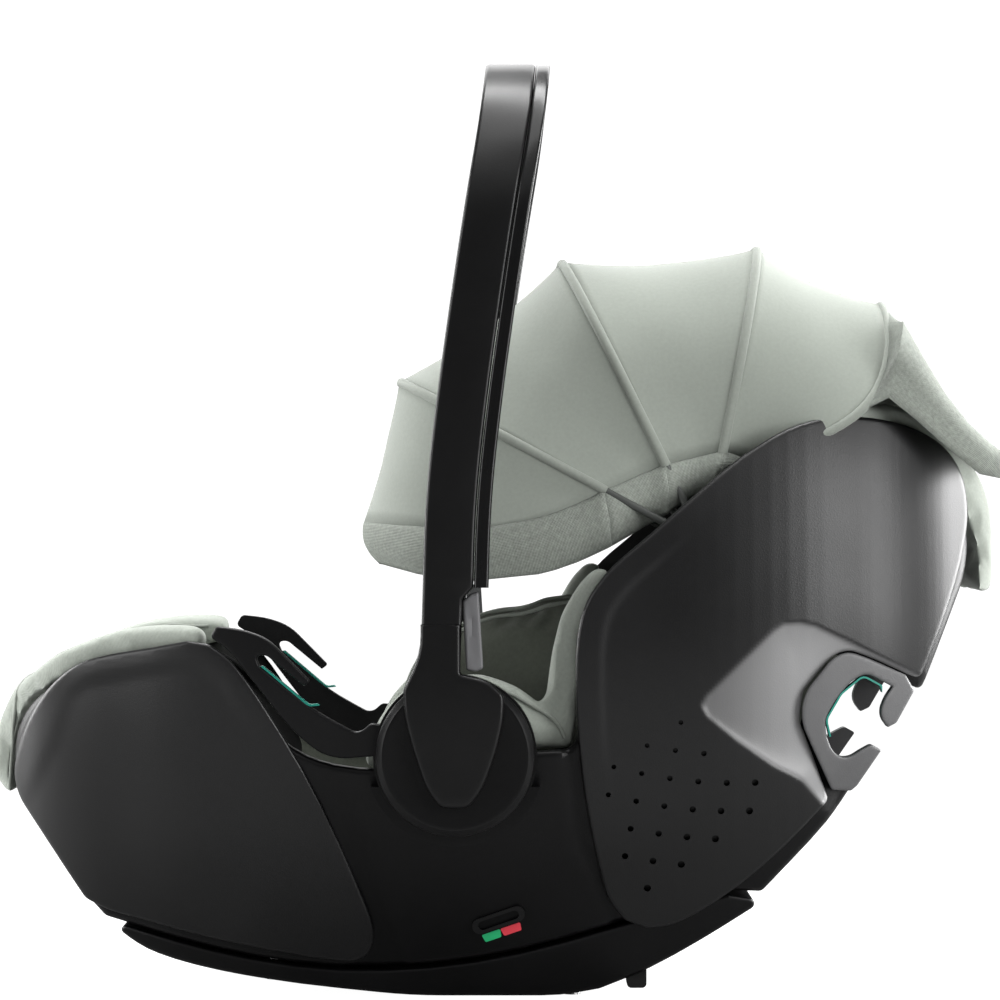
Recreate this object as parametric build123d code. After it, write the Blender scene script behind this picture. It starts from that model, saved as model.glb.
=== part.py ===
"""Infant car seat: a rear-facing carrier with a turning handle, a folding hood and a harness.

The frame stands on the floor: +X runs from the foot end to the head end, +Y from the baby's left to
the right, +Z up. The origin is on the floor below the middle of the whole seat. Left pieces lie at -Y.
Side outlines are (x, z) points on the plane y = 0, in millimetres.
"""

from build123d import *
import math
import os

# ---------------------------------------------------------------- driving dimensions, mm and degrees
seat_length = 680.0  # foot end of the fabric to the tip of the hood's rear flap
seat_height = 620.0  # floor to the top of the upright handle
cover_half_width = 197.0  # centre plane to the widest place of the side covers
hub_reach = 23.0  # how far the handle hubs' outer faces stand out from the side covers
handle_half_width = cover_half_width + hub_reach
drawn_length = 680.0  # the length that the side outlines below are drawn at
drawn_height = 620.0  # the height that the side outlines below are drawn at

bulge_offset = 200.0  # the covers' cross-section radius is the half width plus this
bulge_height = 250.0  # height of the widest place
cover_thickness = 3.0
cover_gap = 0.3  # between a cover and the shell beneath it
shell_wall = 4.0
skin_gap = 0.5  # between soft pieces and hard ones
base_wall = 4.0
channel_half_width = 62.0  # the channel under the base, between its two runners

hub_radius = 51.5
hub_thickness = 19.0
hub_clearance = 0.5
socket_rim = 1.5  # how far the socket stands out around the hub
socket_radius = hub_radius + socket_rim
socket_lip = 5.5  # how far the lip below the hub stands out from the socket
pivot_radius = 8.0
shaft_length = 26.0
running_clearance = 0.05
lock_ring_radius = 24.0
lock_ring_depth = 4.0

arm_depth = 42.5  # front edge to rear edge, with the trim strip
trim_depth = 9.5
handle_corner_radius = 112.0
crossbar_thickness = 26.0
stem_radius = 2.0

guide_thickness = 14.0
liner_thickness = 1.2

bow_radius = 2.5
bow_steps = 2 * bow_radius  # sideways distance from one bow's arm to the next
hood_inset = 25.0  # from the widest place of the covers in to the front bow's arms
canopy_half_width = cover_half_width - hood_inset
bow_gap = 0.55  # least gap between a bow and the cloth beside it
canopy_cloth = 1.6
visor_angle = 176.5  # the visor's front edge, from +X about the hood's pivot

foam_thickness = 16.0
foam_half_width = 140.0
webbing_width = 38.0
webbing_thickness = 1.6

screw_radius = 3.0
bar_radius = 5.0
hole_pitch = 18.6
hole_rows_radius = 313.0

stretch_x = seat_length / drawn_length
stretch_z = seat_height / drawn_height


# ---------------------------------------------------------------- helpers
def at(x, z):
    """A drawn side-view point at the seat's real length and height."""
    return (x * stretch_x, z * stretch_z)


def rounded(corners, radii, closed=True):
    """A wire through the corners, each rounded by its radius or by as much as its sides leave room for."""
    corners = [Vector(*corner) for corner in corners]
    count = len(corners)
    if not isinstance(radii, (list, tuple)):
        radii = [radii] * count
    stops = []
    for i, (corner, radius) in enumerate(zip(corners, radii)):
        before = corners[i - 1] - corner
        after = corners[(i + 1) % count] - corner
        opening = math.radians(before.get_angle(after))
        room = 0.49 * min(before.length, after.length)
        end = not closed and i in (0, count - 1)
        if end or radius <= 0 or math.pi - opening < 1e-3:
            stops.append((corner, None, corner))
            continue
        cut = min(radius / math.tan(opening / 2), room)
        used = cut * math.tan(opening / 2)
        first = corner + before.normalized() * cut
        last = corner + after.normalized() * cut
        inward = (before.normalized() + after.normalized()).normalized()
        middle = corner + inward * (used / math.sin(opening / 2) - used)
        stops.append((first, middle, last))
    edges = []
    for i, (first, middle, last) in enumerate(stops):
        if middle is not None:
            edges.append(Edge.make_three_point_arc(first, middle, last))
        if closed or i < count - 1:
            start = stops[(i + 1) % count][0]
            if (start - last).length > 1e-6:
                edges.append(Edge.make_line(last, start))
    return Wire(edges)


def outline(points, radii):
    """A closed side-view face with a rounded corner at each point; a single radius serves them all."""
    return Face(rounded([(x, 0, z) for x, z in points], radii))


def drawn(points, radii):
    """As outline, from points drawn at the design length and height."""
    return outline([at(x, z) for x, z in points], radii)


def slab(face, low, high):
    """The side-view face carried from y = low to y = high."""
    return Pos(0, low, 0) * extrude(face, amount=high - low, dir=(0, 1, 0))


def prism(face, half):
    """The side-view face carried across the seat, half to each side."""
    return slab(face, -half, half)


def side_of(shape, side, inner=0.0):
    """What lies beyond y = inner on one side: -1 is the left and 1 the right."""
    reach = 400
    box = Pos(0, side * (inner + reach / 2), 300) * Box(1200, reach, 1400)
    return shape & box


def mirrored(shape):
    """The right-hand twin of a left-hand piece."""
    return mirror(shape, about=Plane.XZ)


def pin(centre, radius, low, high):
    """A round bar along Y."""
    x, z = centre
    height = high - low
    return Pos(x, (low + high) / 2, z) * Rot(90, 0, 0) * Cylinder(radius, height)


def spindle(inset, side):
    """The bulged envelope of one side: the seat's plan turned about an axis beyond the centre plane."""
    widest = cover_half_width - inset
    tail = -bulge_offset
    plan = [
        (-343 * stretch_x + inset, tail, 0),
        (-343 * stretch_x + inset, widest - 120, 0),
        (-296 * stretch_x + inset * 0.5, widest - 48, 0),
        (-190 * stretch_x, widest, 0),
        (165 * stretch_x, widest, 0),
        (272 * stretch_x - inset * 0.5, widest - 42, 0),
        (330 * stretch_x - inset, widest - 112, 0),
        (330 * stretch_x - inset, tail, 0),
    ]
    radii = [0, 40, 130, 220, 260, 150, 40, 0]
    face = Face(rounded(plan, radii))
    turned = revolve(face, axis=Axis((0, tail, 0), (1, 0, 0)), revolution_arc=360)
    placed = Pos(0, 0, bulge_height * stretch_z) * turned
    return placed if side > 0 else mirrored(placed)


def bulged(shape, inset):
    """What of a shape lies inside the bulged envelope of the whole seat, set in by a distance."""
    return shape & spindle(inset, -1) & spindle(inset, 1)


def plate(face, outer, inner, deep=60):
    """A left-hand plate that follows the envelope, from one inset to another."""
    blank = slab(face, -handle_half_width, -deep)
    return (blank & spindle(outer, -1)) - spindle(inner, -1)


def capsule(centre, length, height, tilt):
    """A side-view face with round ends, turned by a tilt from level."""
    x, z = centre
    u = Vector(math.cos(math.radians(tilt)), 0, math.sin(math.radians(tilt)))
    v = Vector(-u.Z, 0, u.X)
    half = length / 2
    rise = height / 2
    signs = ((-1, -1), (1, -1), (1, 1), (-1, 1))
    corners = [Vector(x, 0, z) + u * (i * half) + v * (j * rise) for i, j in signs]
    return Face(rounded([tuple(c) for c in corners], rise - 0.05))


def half_at(z):
    """The envelope's half width at a height, in the middle of the seat."""
    rise = z - bulge_height * stretch_z
    return math.sqrt((cover_half_width + bulge_offset) ** 2 - rise**2) - bulge_offset


def write(shape, node):
    """Writes one sub-part, as its solids."""
    solids = shape.solids()
    export_step(solids[0] if len(solids) == 1 else Compound(solids), f"parts/{node}.step")


def both(shape, node):
    """Writes the left-hand piece and its right-hand twin."""
    write(shape, f"{node}_left")
    write(mirrored(shape), f"{node}_right")


def pair(shape, node):
    """Writes the left-hand piece and its twin as one sub-part."""
    write(Compound([*shape.solids(), *mirrored(shape).solids()]), node)


def back(u, n):
    """A point on the backrest: u along it from the crease, n out of it towards the baby."""
    slope = math.radians(back_slope)
    x0, z0 = crease
    return (
        x0 + u * math.cos(slope) - n * math.sin(slope),
        z0 + u * math.sin(slope) + n * math.cos(slope),
    )


os.makedirs("parts", exist_ok=True)

hub = at(-29, 163)
hood_pivot = at(134, 300)
crease = at(22, 74)
back_slope = 41.0
level_centre = at(-1, 53)
level_tilt = 19.6

# ---------------------------------------------------------------- outlines
shell_outer = drawn(
    [(-262, 53), (-288, 82), (-326, 145), (-318, 192), (-274, 218), (-207, 228), (-168, 200), (-132, 162),
     (-84, 152), (20, 166), (50, 166), (56, 240), (92, 296), (160, 350), (219, 376), (270, 369),
     (302, 343), (314, 293), (277, 204), (262, 211), (240, 219), (219, 206), (208, 184), (212, 162),
     (234, 146), (215, 118), (172, 72), (150, 73), (80, 52), (14, 32), (-45, 22), (-106, 20), (-165, 28),
     (-211, 39)],
    [3, 8, 14, 16, 20, 12, 10, 14,
     14, 10, 8, 18, 20, 20, 14, 14,
     14, 14, 2, 6, 10, 12, 8, 8,
     3, 20, 3, 6, 40, 60, 60, 60, 60,
     20],
)
shell_inner = drawn(
    [(-255, 61), (-283, 90), (-318, 146), (-312, 188), (-300, 240), (-300, 420), (330, 420), (308, 300),
     (274, 216), (240, 225), (213, 210), (202, 186), (206, 160), (222, 144), (208, 122), (170, 80),
     (148, 80), (78, 58), (12, 38), (-46, 28), (-106, 26), (-164, 34), (-209, 45)],
    [3, 8, 14, 10, 3, 3, 3, 14,
     8, 10, 12, 8, 8, 3, 20, 8,
     6, 40, 60, 60, 60, 60, 20],
)
head_outline = drawn(
    [(219, 384), (193, 377), (158, 358), (129, 334), (97, 306), (71, 284), (57, 264), (50, 242), (49, 213),
     (50, 174), (55, 135), (64, 90), (72, 68), (83, 55), (97, 49), (111, 50), (129, 58), (155, 75),
     (187, 103),
     (216, 135), (235, 150), (272, 205), (290, 245), (306, 290), (311, 322), (306, 348), (293, 364),
     (271, 377), (245, 383)],
    [12, 14, 14, 14, 14, 12, 12, 12, 12,
     12, 12, 9, 5, 6, 6, 6, 9, 14, 14,
     3, 3, 3, 14, 14, 12, 10, 8,
     12, 10],
)
insert_outline = drawn(
    [(266, 214), (240, 226), (227, 230), (217, 226), (198, 203), (196, 185), (206, 163), (217, 138.5),
     (232, 138.5), (300, 138.5), (300, 214)],
    [0, 8, 6, 8, 8, 8, 10, 0, 0, 0, 0],
)
groove = drawn(
    [(237, 215), (222, 203), (212, 186), (217, 166), (222, 161), (229, 161), (236, 166), (243, 169),
     (249, 166), (300, 166), (300, 180), (254, 180), (249, 189), (252, 200), (250, 208)],
    [6, 12, 8, 4, 2, 3, 3, 3, 0, 0, 0, 1.5, 4, 4, 4],
)
hook_plate = drawn(
    [(266, 214), (240, 226), (227, 230), (217, 226), (198, 203), (196, 185), (206, 163), (217, 139),
     (231, 139), (249, 163), (252, 174), (262, 183), (272, 204)],
    [0, 8, 6, 8, 8, 8, 10, 3, 3, 3, 0, 4, 3],
)
foot_outline = drawn(
    [(-326, 142), (-314, 177), (-294, 207), (-274, 223), (-252, 229), (-226, 233), (-203, 237), (-190, 235),
     (-177, 229), (-164, 213), (-139, 174), (-116, 132), (-97, 87), (-85, 55), (-83, 42), (-87, 31),
     (-97, 25.5), (-113, 26), (-161, 34), (-206, 44), (-239, 53), (-258, 58), (-274, 66), (-283, 78),
     (-303, 110)],
    [5, 12, 14, 12, 14, 14, 6, 6,
     6, 12, 14, 14, 12, 4, 4, 4,
     4, 6, 20, 20, 12, 8, 6, 6,
     14],
)
base_outline = drawn(
    [(-262, 51), (-212, 37), (-165, 26), (-106, 17.5), (-45, 19.5), (14, 29.5), (80, 49.5), (150, 70.5),
     (174, 66), (134, 40), (99, 19), (66, 5), (40, 0), (-49, 0), (-70, 1.2), (-132, 8), (-185, 17),
     (-215, 24), (-238, 32)],
    [2, 20, 60, 60, 60, 60, 40, 0,
     3, 30, 30, 12, 30, 30, 30, 80, 30,
     20, 12],
)
lap_outline = drawn(
    [(-187, 241), (-184, 247), (-166, 245), (-150, 239), (-124, 212), (-127, 209), (-152, 229), (-158, 227),
     (-156, 222), (-124, 195), (-107, 185), (-92, 177), (-84, 184), (-60, 181), (-50, 176), (-56, 163),
     (-80, 163), (-111, 160), (-134, 178), (-162, 214), (-176, 232)],
    [3, 3, 12, 10, 1.5, 1, 8, 3,
     4, 6, 10, 5, 5, 6, 3, 3,
     6, 14, 14, 10, 4],
)
lap_slot = drawn(
    [(-118, 214), (-127, 209), (-152, 229), (-158, 227), (-156, 222), (-124, 195), (-107, 197)],
    [0, 0, 8, 3, 4, 6, 0],
)
level_face = capsule(level_centre, 36, 10.5, level_tilt)
level_slot = capsule(level_centre, 28, 6, level_tilt)

# ---------------------------------------------------------------- the hard shell
shell_inset = cover_thickness + cover_gap
blank = bulged(prism(shell_outer, cover_half_width), shell_inset)
hollow = bulged(prism(shell_inner, cover_half_width), shell_inset + shell_wall)
level_hole = slab(level_face, -cover_half_width, -90)
shaft_bore = pin(hub, pivot_radius + running_clearance, -cover_half_width, -140)
pin_bore = pin(hood_pivot, 5.0, -cover_half_width, -140)
screw_spots = [(x * stretch_x, y) for x in (-150, 48) for y in (-88, 88)]
screw_top = 44.0 * stretch_z
shanks = [Pos(x, y, screw_top / 2 - 2) * Cylinder(screw_radius, screw_top) for x, y in screw_spots]
shell = blank - hollow
for cut in (level_hole, shaft_bore, pin_bore):
    shell = shell - cut - mirrored(cut)
shell = shell - shanks
write(shell, "seat_shell")

base_blank = bulged(prism(base_outline, cover_half_width), shell_inset)
base_hollow_face = drawn(
    [(-246, 60), (-208, 43), (-180, 24), (-132, 14), (-49, 5), (38, 5), (66, 10), (98, 26), (132, 47),
     (156, 63), (156, 90)],
    [0, 10, 20, 60, 20, 20, 12, 30, 30, 6, 0],
)
base_hollow = bulged(prism(base_hollow_face, cover_half_width), shell_inset + base_wall + 2)
front_bar = at(-38, 9)
rear_bar = at(92, 24)
wells = []
walls = []
for (x, z), half, top in ((front_bar, 20, 15.0), (rear_bar, 17, 34.0)):
    wells.append(Pos(x, 0, top / 2 - 20) * Box(2 * half, 2 * channel_half_width, top + 40))
    walls.append(Pos(x, 0, 30) * Box(2 * half + 8, 2 * channel_half_width + 8, 60))
bar_half = channel_half_width + 6
bars = [pin(spot, bar_radius, -bar_half, bar_half) for spot in (front_bar, rear_bar)]
posts = [Pos(x, y, 30) * Cylinder(screw_radius + 4, 60) for x, y in screw_spots]
base = base_blank - (base_hollow - walls - posts) - wells - bars - shanks
base_floor = {-150: 13.0, 48: 3.0}
screws = []
for x, y in screw_spots:
    seat = base_floor[round(x / stretch_x)] * stretch_z
    well = Pos(x, y, seat - 20) * Cylinder(screw_radius + 2.5, 40)
    base = base - well
    head = Pos(x, y, seat - 1.5) * Cylinder(screw_radius + 2.4, 3)
    shank = Pos(x, y, (seat + 30 * stretch_z) / 2) * Cylinder(screw_radius, 30 * stretch_z - seat)
    screws.append(head + shank)
write(base, "base_skid")
write(Compound([s.solids()[0] for s in screws]), "cover_screws")
write(bars[0], "front_latch_bar")
write(bars[1], "rear_latch_bar")
foot_face = drawn([(84, 30), (84, 6), (97, 6), (97, 30)], [0, 3, 3, 0])
pair(slab(foot_face, -112, -80) - base_blank, "rear_feet")

# ---------------------------------------------------------------- side covers and belt guides
insert_cut = slab(offset(insert_outline, amount=cover_gap), -handle_half_width, -60)
head_cover = plate(head_outline, 0, cover_thickness) - insert_cut
holes = []
hole_rows = [(-2, -3, -3), (-1, -4, -2), (0, -5, 0), (1, -5, 0), (2, -4, -1), (3, -4, -2), (4, -3, -3)]
for row, first, last in hole_rows:
    reach = hole_rows_radius + hole_pitch * row
    for n in range(first, last + 1):
        angle = (hole_pitch * n + 11 - 3.5 * row) / reach
        spot = at(155 + reach * math.sin(angle), 458 - reach * math.cos(angle))
        holes.append(pin(spot, 1.7 + 0.13 * (row + n + 7), -handle_half_width, -100))
head_cover = head_cover - holes
both(head_cover, "head_side_cover")
foot_cover = plate(foot_outline, 0, cover_thickness)
both(foot_cover, "foot_side_cover")

insert = plate(hook_plate, 0, guide_thickness + 4) - slab(groove, -handle_half_width, -60) - blank
both(max(insert.solids(), key=lambda solid: solid.volume), "shoulder_belt_guide")
liner_inner = offset(groove, amount=-liner_thickness)
liner_zone = drawn([(205, 172), (236, 180), (244, 192), (250, 203), (250, 230), (205, 230)], 0.5)
liner = plate((groove - liner_inner) & liner_zone, 1.0, guide_thickness + 3)
pair(max(liner.solids(), key=lambda solid: solid.volume), "shoulder_belt_liners")

foot_room = slab(offset(foot_outline, amount=0.6), -300, -100)
lap_guide = plate(lap_outline, 0, guide_thickness) - blank - foot_room
lap_guide = max(lap_guide.solids(), key=lambda solid: solid.volume)
both(lap_guide, "lap_belt_guide")
lap_inner = offset(lap_slot, amount=-liner_thickness)
lap_zone = drawn([(-157, 221), (-150, 222), (-121, 199), (-110, 190), (-130, 190)], 0.5)
lap_liner = plate((lap_slot - lap_inner) & lap_zone, 1.0, guide_thickness - 1)
pair(max(lap_liner.solids(), key=lambda solid: solid.volume), "lap_belt_liners")

# ---------------------------------------------------------------- level indicator
bezel_outer = plate(level_face, 1.6, 20)
level_depth = half_at(level_centre[1]) - 12.5  # centre plane to the sliders' middles
pocket = slab(level_slot, -cover_half_width, -level_depth + 4.2)
pair(bezel_outer - pocket, "level_indicator_bezels")
slope = math.radians(level_tilt)
slider_box = Box(9, 6.2, 5.6)
slider = Pos(level_centre[0], -level_depth, level_centre[1]) * Rot(0, -level_tilt, 0) * slider_box
both(slider, "level_slider")


def mark(start, end):
    """A flat tab below the indicator, between two distances along it."""
    u = Vector(math.cos(slope), 0, math.sin(slope))
    v = Vector(-u.Z, 0, u.X)
    middle = Vector(level_centre[0], 0, level_centre[1])
    corners = [middle + u * start - v * 6.0, middle + u * end - v * 6.0]
    corners += [middle + u * (end - 1) - v * 11.5, middle + u * (start + 1) - v * 11.5]
    face = Face(rounded([tuple(c) for c in corners], 1.0))
    return plate(face, cover_thickness, shell_inset)


pair(mark(-14, -1), "level_marks_green")
pair(mark(-1, 13), "level_marks_red")

# ---------------------------------------------------------------- handle
socket_face = -(handle_half_width - hub_thickness)
hub_face = socket_face - hub_clearance
socket = pin(hub, socket_radius, socket_face, -150)
lip_zone = Pos(0, 0, 400 + hub[1] - 20) * Box(900, 900, 800)
lip = pin(hub, socket_radius + socket_lip, socket_face + 6, -150) - lip_zone
socket = (socket + lip) - spindle(guide_thickness, -1) - blank - shaft_bore
ring_pocket = pin(hub, lock_ring_radius + 0.3, socket_face - 1, socket_face + lock_ring_depth + 0.3)
socket = max((socket - ring_pocket).solids(), key=lambda solid: solid.volume)
socket = socket - slab(offset(foot_outline, amount=0.4), -300, -100)
socket = socket - slab(offset(head_outline, amount=0.4), -300, -100) - lap_guide
both(max(socket.solids(), key=lambda solid: solid.volume), "hub_socket")

disc_face = hub_face - 9.5
shaft = pin(hub, pivot_radius, hub_face - 1, hub_face + shaft_length)
disc = pin(hub, hub_radius, disc_face, hub_face) + shaft
both(disc, "hub_disc")
ring = pin(hub, lock_ring_radius, hub_face, hub_face + lock_ring_depth) - pin(hub, pivot_radius, -300, -100)
pair(ring, "handle_lock_rings")

arm_line = [(-29.5, 240), (-27, 329), (-20, 393), (-11, 457.5), (-1.3, 522), (9.5, 586), (14, 640)]
half_depth = arm_depth / 2
front_edge = [(x - half_depth, z) for x, z in arm_line]
rear_edge = [(x + half_depth, z) for x, z in arm_line]
seam_edge = [(x + half_depth - trim_depth, z) for x, z in arm_line]
hub_top = (hub[1] + hub_radius) / stretch_z
notch_low = hub_top + 1.5
notch = drawn([(-28, notch_low), (0, notch_low), (0, 268), (-14, 274), (-28, 271)], [0, 0, 0, 0, 3])
arm_radii = [0, 90, 90, 90, 90, 90, 20, 0, 0, 20, 90, 90, 90, 90, 90, 0]
arm_side = drawn(front_edge[::-1] + [(-50, 205), (-8, 205)] + rear_edge, arm_radii)
trim_foot = [(-18, 274), (-8, 268)]
trim_radii = [0, 90, 90, 90, 90, 20, 2, 2, 20, 90, 90, 90, 90, 0]
trim_side = drawn(seam_edge[1:][::-1] + trim_foot + rear_edge[1:], trim_radii)


def hoop(outer_half, inner_half, outer_top, inner_top, low):
    """The handle seen from the front: an upside-down U with a gently arched bar."""
    edge = []
    outer = (outer_half, outer_top, handle_corner_radius)
    inner = (inner_half, inner_top, handle_corner_radius - 22)
    for half, top, corner in (outer, inner):
        points = [(0, -half, low), (0, -half, top - 8), (0, 0, top), (0, half, top - 8), (0, half, low)]
        face = Face(rounded(points, [0, corner, 900, corner, 0]))
        edge.append(extrude(face, amount=800, dir=(1, 0, 0)))
    return Pos(-400, 0, 0) * (edge[0] - edge[1])


arm_inner = socket_face - hub_clearance
loop = hoop(handle_half_width, -arm_inner, seat_height, seat_height - crossbar_thickness, 100)
arms = prism(arm_side, handle_half_width) & loop
disc_zone = pin(hub, hub_radius, -handle_half_width - 1, handle_half_width + 1)
cover_line = 249 * stretch_z
plate_zone = Pos(0, disc_face - 100, cover_line - 200) * Box(300, 200, 400)
button_notch = prism(notch, handle_half_width + 1)
frame = arms - disc_zone - plate_zone - mirrored(plate_zone) - button_notch
frame = frame - prism(trim_side, handle_half_width + 1)
stem_spot = (-27 * stretch_x, 245 * stretch_z)
stem = Pos(-30 * stretch_x, disc_face + 3.5, stem_spot[1]) * Rot(0, 90, 0) * Cylinder(stem_radius, 16)
stem_bore = Pos(-33.5 * stretch_x, disc_face + 3.5, stem_spot[1])
stem_bore = stem_bore * Rot(0, 90, 0) * Cylinder(stem_radius + running_clearance, 21)
frame = frame - stem_bore - mirrored(stem_bore)
write(max(frame.solids(), key=lambda solid: solid.volume), "handle_frame")
write((prism(trim_side, handle_half_width + 1) & loop), "handle_trim")

cover_outline = drawn(
    [(-50, 249), (-50, 233), (-64, 206), (-56, 170), (-46, 140), (-36, 131), (-22, 131), (-11, 140),
     (-2, 170), (2, 206), (-28, 216), (-28, 249)],
    [0, 14, 6, 60, 8, 9, 9, 8, 60, 6, 0, 0],
)
hub_cover = slab(cover_outline, -handle_half_width, disc_face)
both(hub_cover, "hub_cover")
button_low = hub_top + 4.5
button_points = [(-24, button_low), (-9.5, button_low), (-8.5, 262), (-14, 271), (-24, 268)]
button_outline = drawn(button_points, [2, 3, 3, 2, 2])
button = slab(button_outline, disc_face - 4.5, hub_face - 2) + stem
both(button, "release_button")

# ---------------------------------------------------------------- hood
pivot_x, pivot_z = hood_pivot


def hood_at(angle, reach, y):
    """A point of the hood by its angle above +X, its distance from the pivot and its side."""
    turn = math.radians(angle)
    return Vector(pivot_x + reach * math.cos(turn), y, pivot_z + reach * math.sin(turn))


bows = {
    "front": (151.8, 227.0 * stretch_z, canopy_half_width),
    "middle": (116.4, 208.5 * stretch_z, canopy_half_width - bow_steps),
    "rear": (79.1, 199.5 * stretch_z, canopy_half_width - 2 * bow_steps),
    "fixed": (52.6, 200.0 * stretch_z, canopy_half_width - 4 * bow_steps),
}
eyelet_radius = 9.5
pin_radius = 5.0
for name, (angle, reach, half) in bows.items():
    stops = [(eyelet_radius - 2, -half), (reach, -half), (reach, half), (eyelet_radius - 2, half)]
    path = rounded([tuple(hood_at(angle, r, y)) for r, y in stops], 92, closed=False)
    direction = hood_at(angle, 1, 0) - hood_at(angle, 0, 0)
    profile = Plane(origin=hood_at(angle, eyelet_radius - 2, -half), z_dir=direction) * Circle(bow_radius)
    bow = sweep(profile, path=path)
    for y in (-half, half):
        bow = bow + pin(hood_pivot, eyelet_radius, y - bow_radius + 0.3, y + bow_radius - 0.3)
    grip = 0.0 if name == "fixed" else running_clearance
    bow = bow - pin(hood_pivot, pin_radius + grip, -300, 300)
    write(bow, f"canopy_bow_{name}")
pin_low = bows["fixed"][2] - bow_radius - 0.5
pin_bar = pin(hood_pivot, pin_radius, -(cover_half_width - 3.5), -pin_low) & spindle(shell_inset, -1)
pair(pin_bar + pin(hood_pivot, pin_radius + 2, -pin_low, -pin_low + 2.5), "canopy_pivot_pins")


def hood_face(angle, reach, half, low):
    """The plane face below one bow, from a distance out of the pivot to the cloth."""
    corners = [hood_at(angle, low, -half), hood_at(angle, reach, -half)]
    corners += [hood_at(angle, reach, half), hood_at(angle, low, half)]
    return Face(rounded([tuple(c) for c in corners], [0, 92, 92, 0]))


def hood_panel(first, second, low):
    """The cloth between two bows, lying on them."""
    skin = bow_radius + 0.3
    solids = []
    for grow, drop in ((skin + canopy_cloth, 0), (skin, 30)):
        faces = [hood_face(a, r + grow, h + grow, low - drop) for a, r, h in (first, second)]
        solids.append(loft(faces, ruled=True))
    return solids[0] - solids[1]


panel_low = 68.0  # distance of the panels' lower hems from the pivot
gap_angle = math.degrees((bow_radius + bow_gap) / panel_low)  # leaves each bow clear between two panels
order = ["fixed", "rear", "middle", "front"]
for name, behind in zip(order[1:], order):
    a, r, h = bows[behind]
    b, q, k = bows[name]
    write(hood_panel((a + gap_angle, r, h), (b - gap_angle, q, k), panel_low), f"canopy_panel_{name}")
front_angle, front_reach, front_half = bows["front"]
brim = (front_angle + gap_angle, front_reach, front_half)
write(hood_panel(brim, (visor_angle, front_reach, front_half), 150), "canopy_visor")
tail_top = hood_at(bows["fixed"][0], bows["fixed"][1], 0)
tail_steps = ((5.5, -8.9), (18.5, -33.9), (21.5, -31.9), (8.5, -6.9))
tail_start = [(tail_top.X + x, tail_top.Z + z) for x, z in tail_steps]
tail_points = [tail_start[1], tail_start[0], tail_start[3], tail_start[2]]
tail_points += [at(307, 380), at(338, 357), at(334.5, 353.5), at(305, 376)]
tail_face = outline(tail_points, [30, 1, 1, 30, 40, 1, 1, 40])
write(prism(tail_face, 128), "canopy_tail")

# ---------------------------------------------------------------- soft lining and cushions
soft_inset = shell_inset + shell_wall + skin_gap
lining_top = [back(330, -skin_gap), back(0, -skin_gap), (crease[0] - 60, crease[1] + 1), at(-262, 132)]
lining_low = [at(-340, 160), at(-340, -60), at(420, -60), at(420, 420)]
lining_cut = outline([*lining_top, *lining_low], [0, 6, 10, 0, 0, 0, 0, 0])
foam_face = offset(shell_inner, amount=-skin_gap) & lining_cut & offset(shell_outer, amount=-shell_wall)
foam_face = foam_face - Pos(foam_thickness * 0.6, 0, -foam_thickness) * lining_cut
foam = bulged(prism(foam_face, foam_half_width), soft_inset)
for cut in (slab(offset(level_face, amount=1), -300, -90), pin(hub, pivot_radius + 4, -300, -100)):
    foam = foam - cut - mirrored(cut)
foam = max((foam - shanks).solids(), key=lambda solid: solid.volume)
write(foam, "foam_lining")

seat_half = 118.0
seat_low = crease[1] + 2
seat_top = crease[1] + 22
seat_cushion = outline(
    [at(-262, 134), (crease[0] - 58, seat_low), (crease[0] - 8, seat_low), (crease[0] - 4, seat_top),
     (crease[0] - 60, seat_top), at(-250, 156)],
    [4, 30, 4, 8, 30, 8],
)
write(prism(seat_cushion, seat_half), "seat_cushion")
back_cushion = outline([back(10, 0), back(296, 0), back(296, 20), back(22, 20)], [3, 8, 8, 8])
bolster_thickness = 17.0
bolster_face = outline(
    [back(32, 18), back(184, 18), back(184, 98), (crease[0] + 24, crease[1] + 194),
     (crease[0] + 6, crease[1] + 192), (crease[0] - 36, crease[1] + 183), (crease[0] - 82, crease[1] + 156),
     (crease[0] - 96, crease[1] + 116), (crease[0] - 92, crease[1] + 50),
     (crease[0] - 56, seat_top + 1), (crease[0] - 1, seat_top + 1)],
    [1, 4, 14, 60, 60, 60, 40, 30, 14, 10, 0.5],
)
backrest = prism(back_cushion, seat_half)
for y in (-seat_half, seat_half - bolster_thickness):
    backrest = backrest + slab(bolster_face, y, y + bolster_thickness)
write(backrest, "backrest_cushion")

wing_outline = drawn(
    [(-90, 166), (-78, 191), (-58, 212), (-12, 217), (10, 210), (28, 196), (32, 208), (34, 231),
     (40, 256), (52, 276), (64, 288), (76, 284), (64, 262), (58, 240), (49, 172), (49, 140),
     (-60, 132), (-90, 140)],
    [4, 14, 16, 16, 16, 8, 10, 20, 20, 16, 4, 3, 20, 20, 10, 10, 10, 8],
)
wing = plate(offset(wing_outline, amount=-0.3), guide_thickness + skin_gap, 44) - blank
wing = wing - pin(hub, pivot_radius + 1, -300, hub_face + shaft_length + 1)
both(max(wing.solids(), key=lambda solid: solid.volume), "side_wing_pad")

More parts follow.
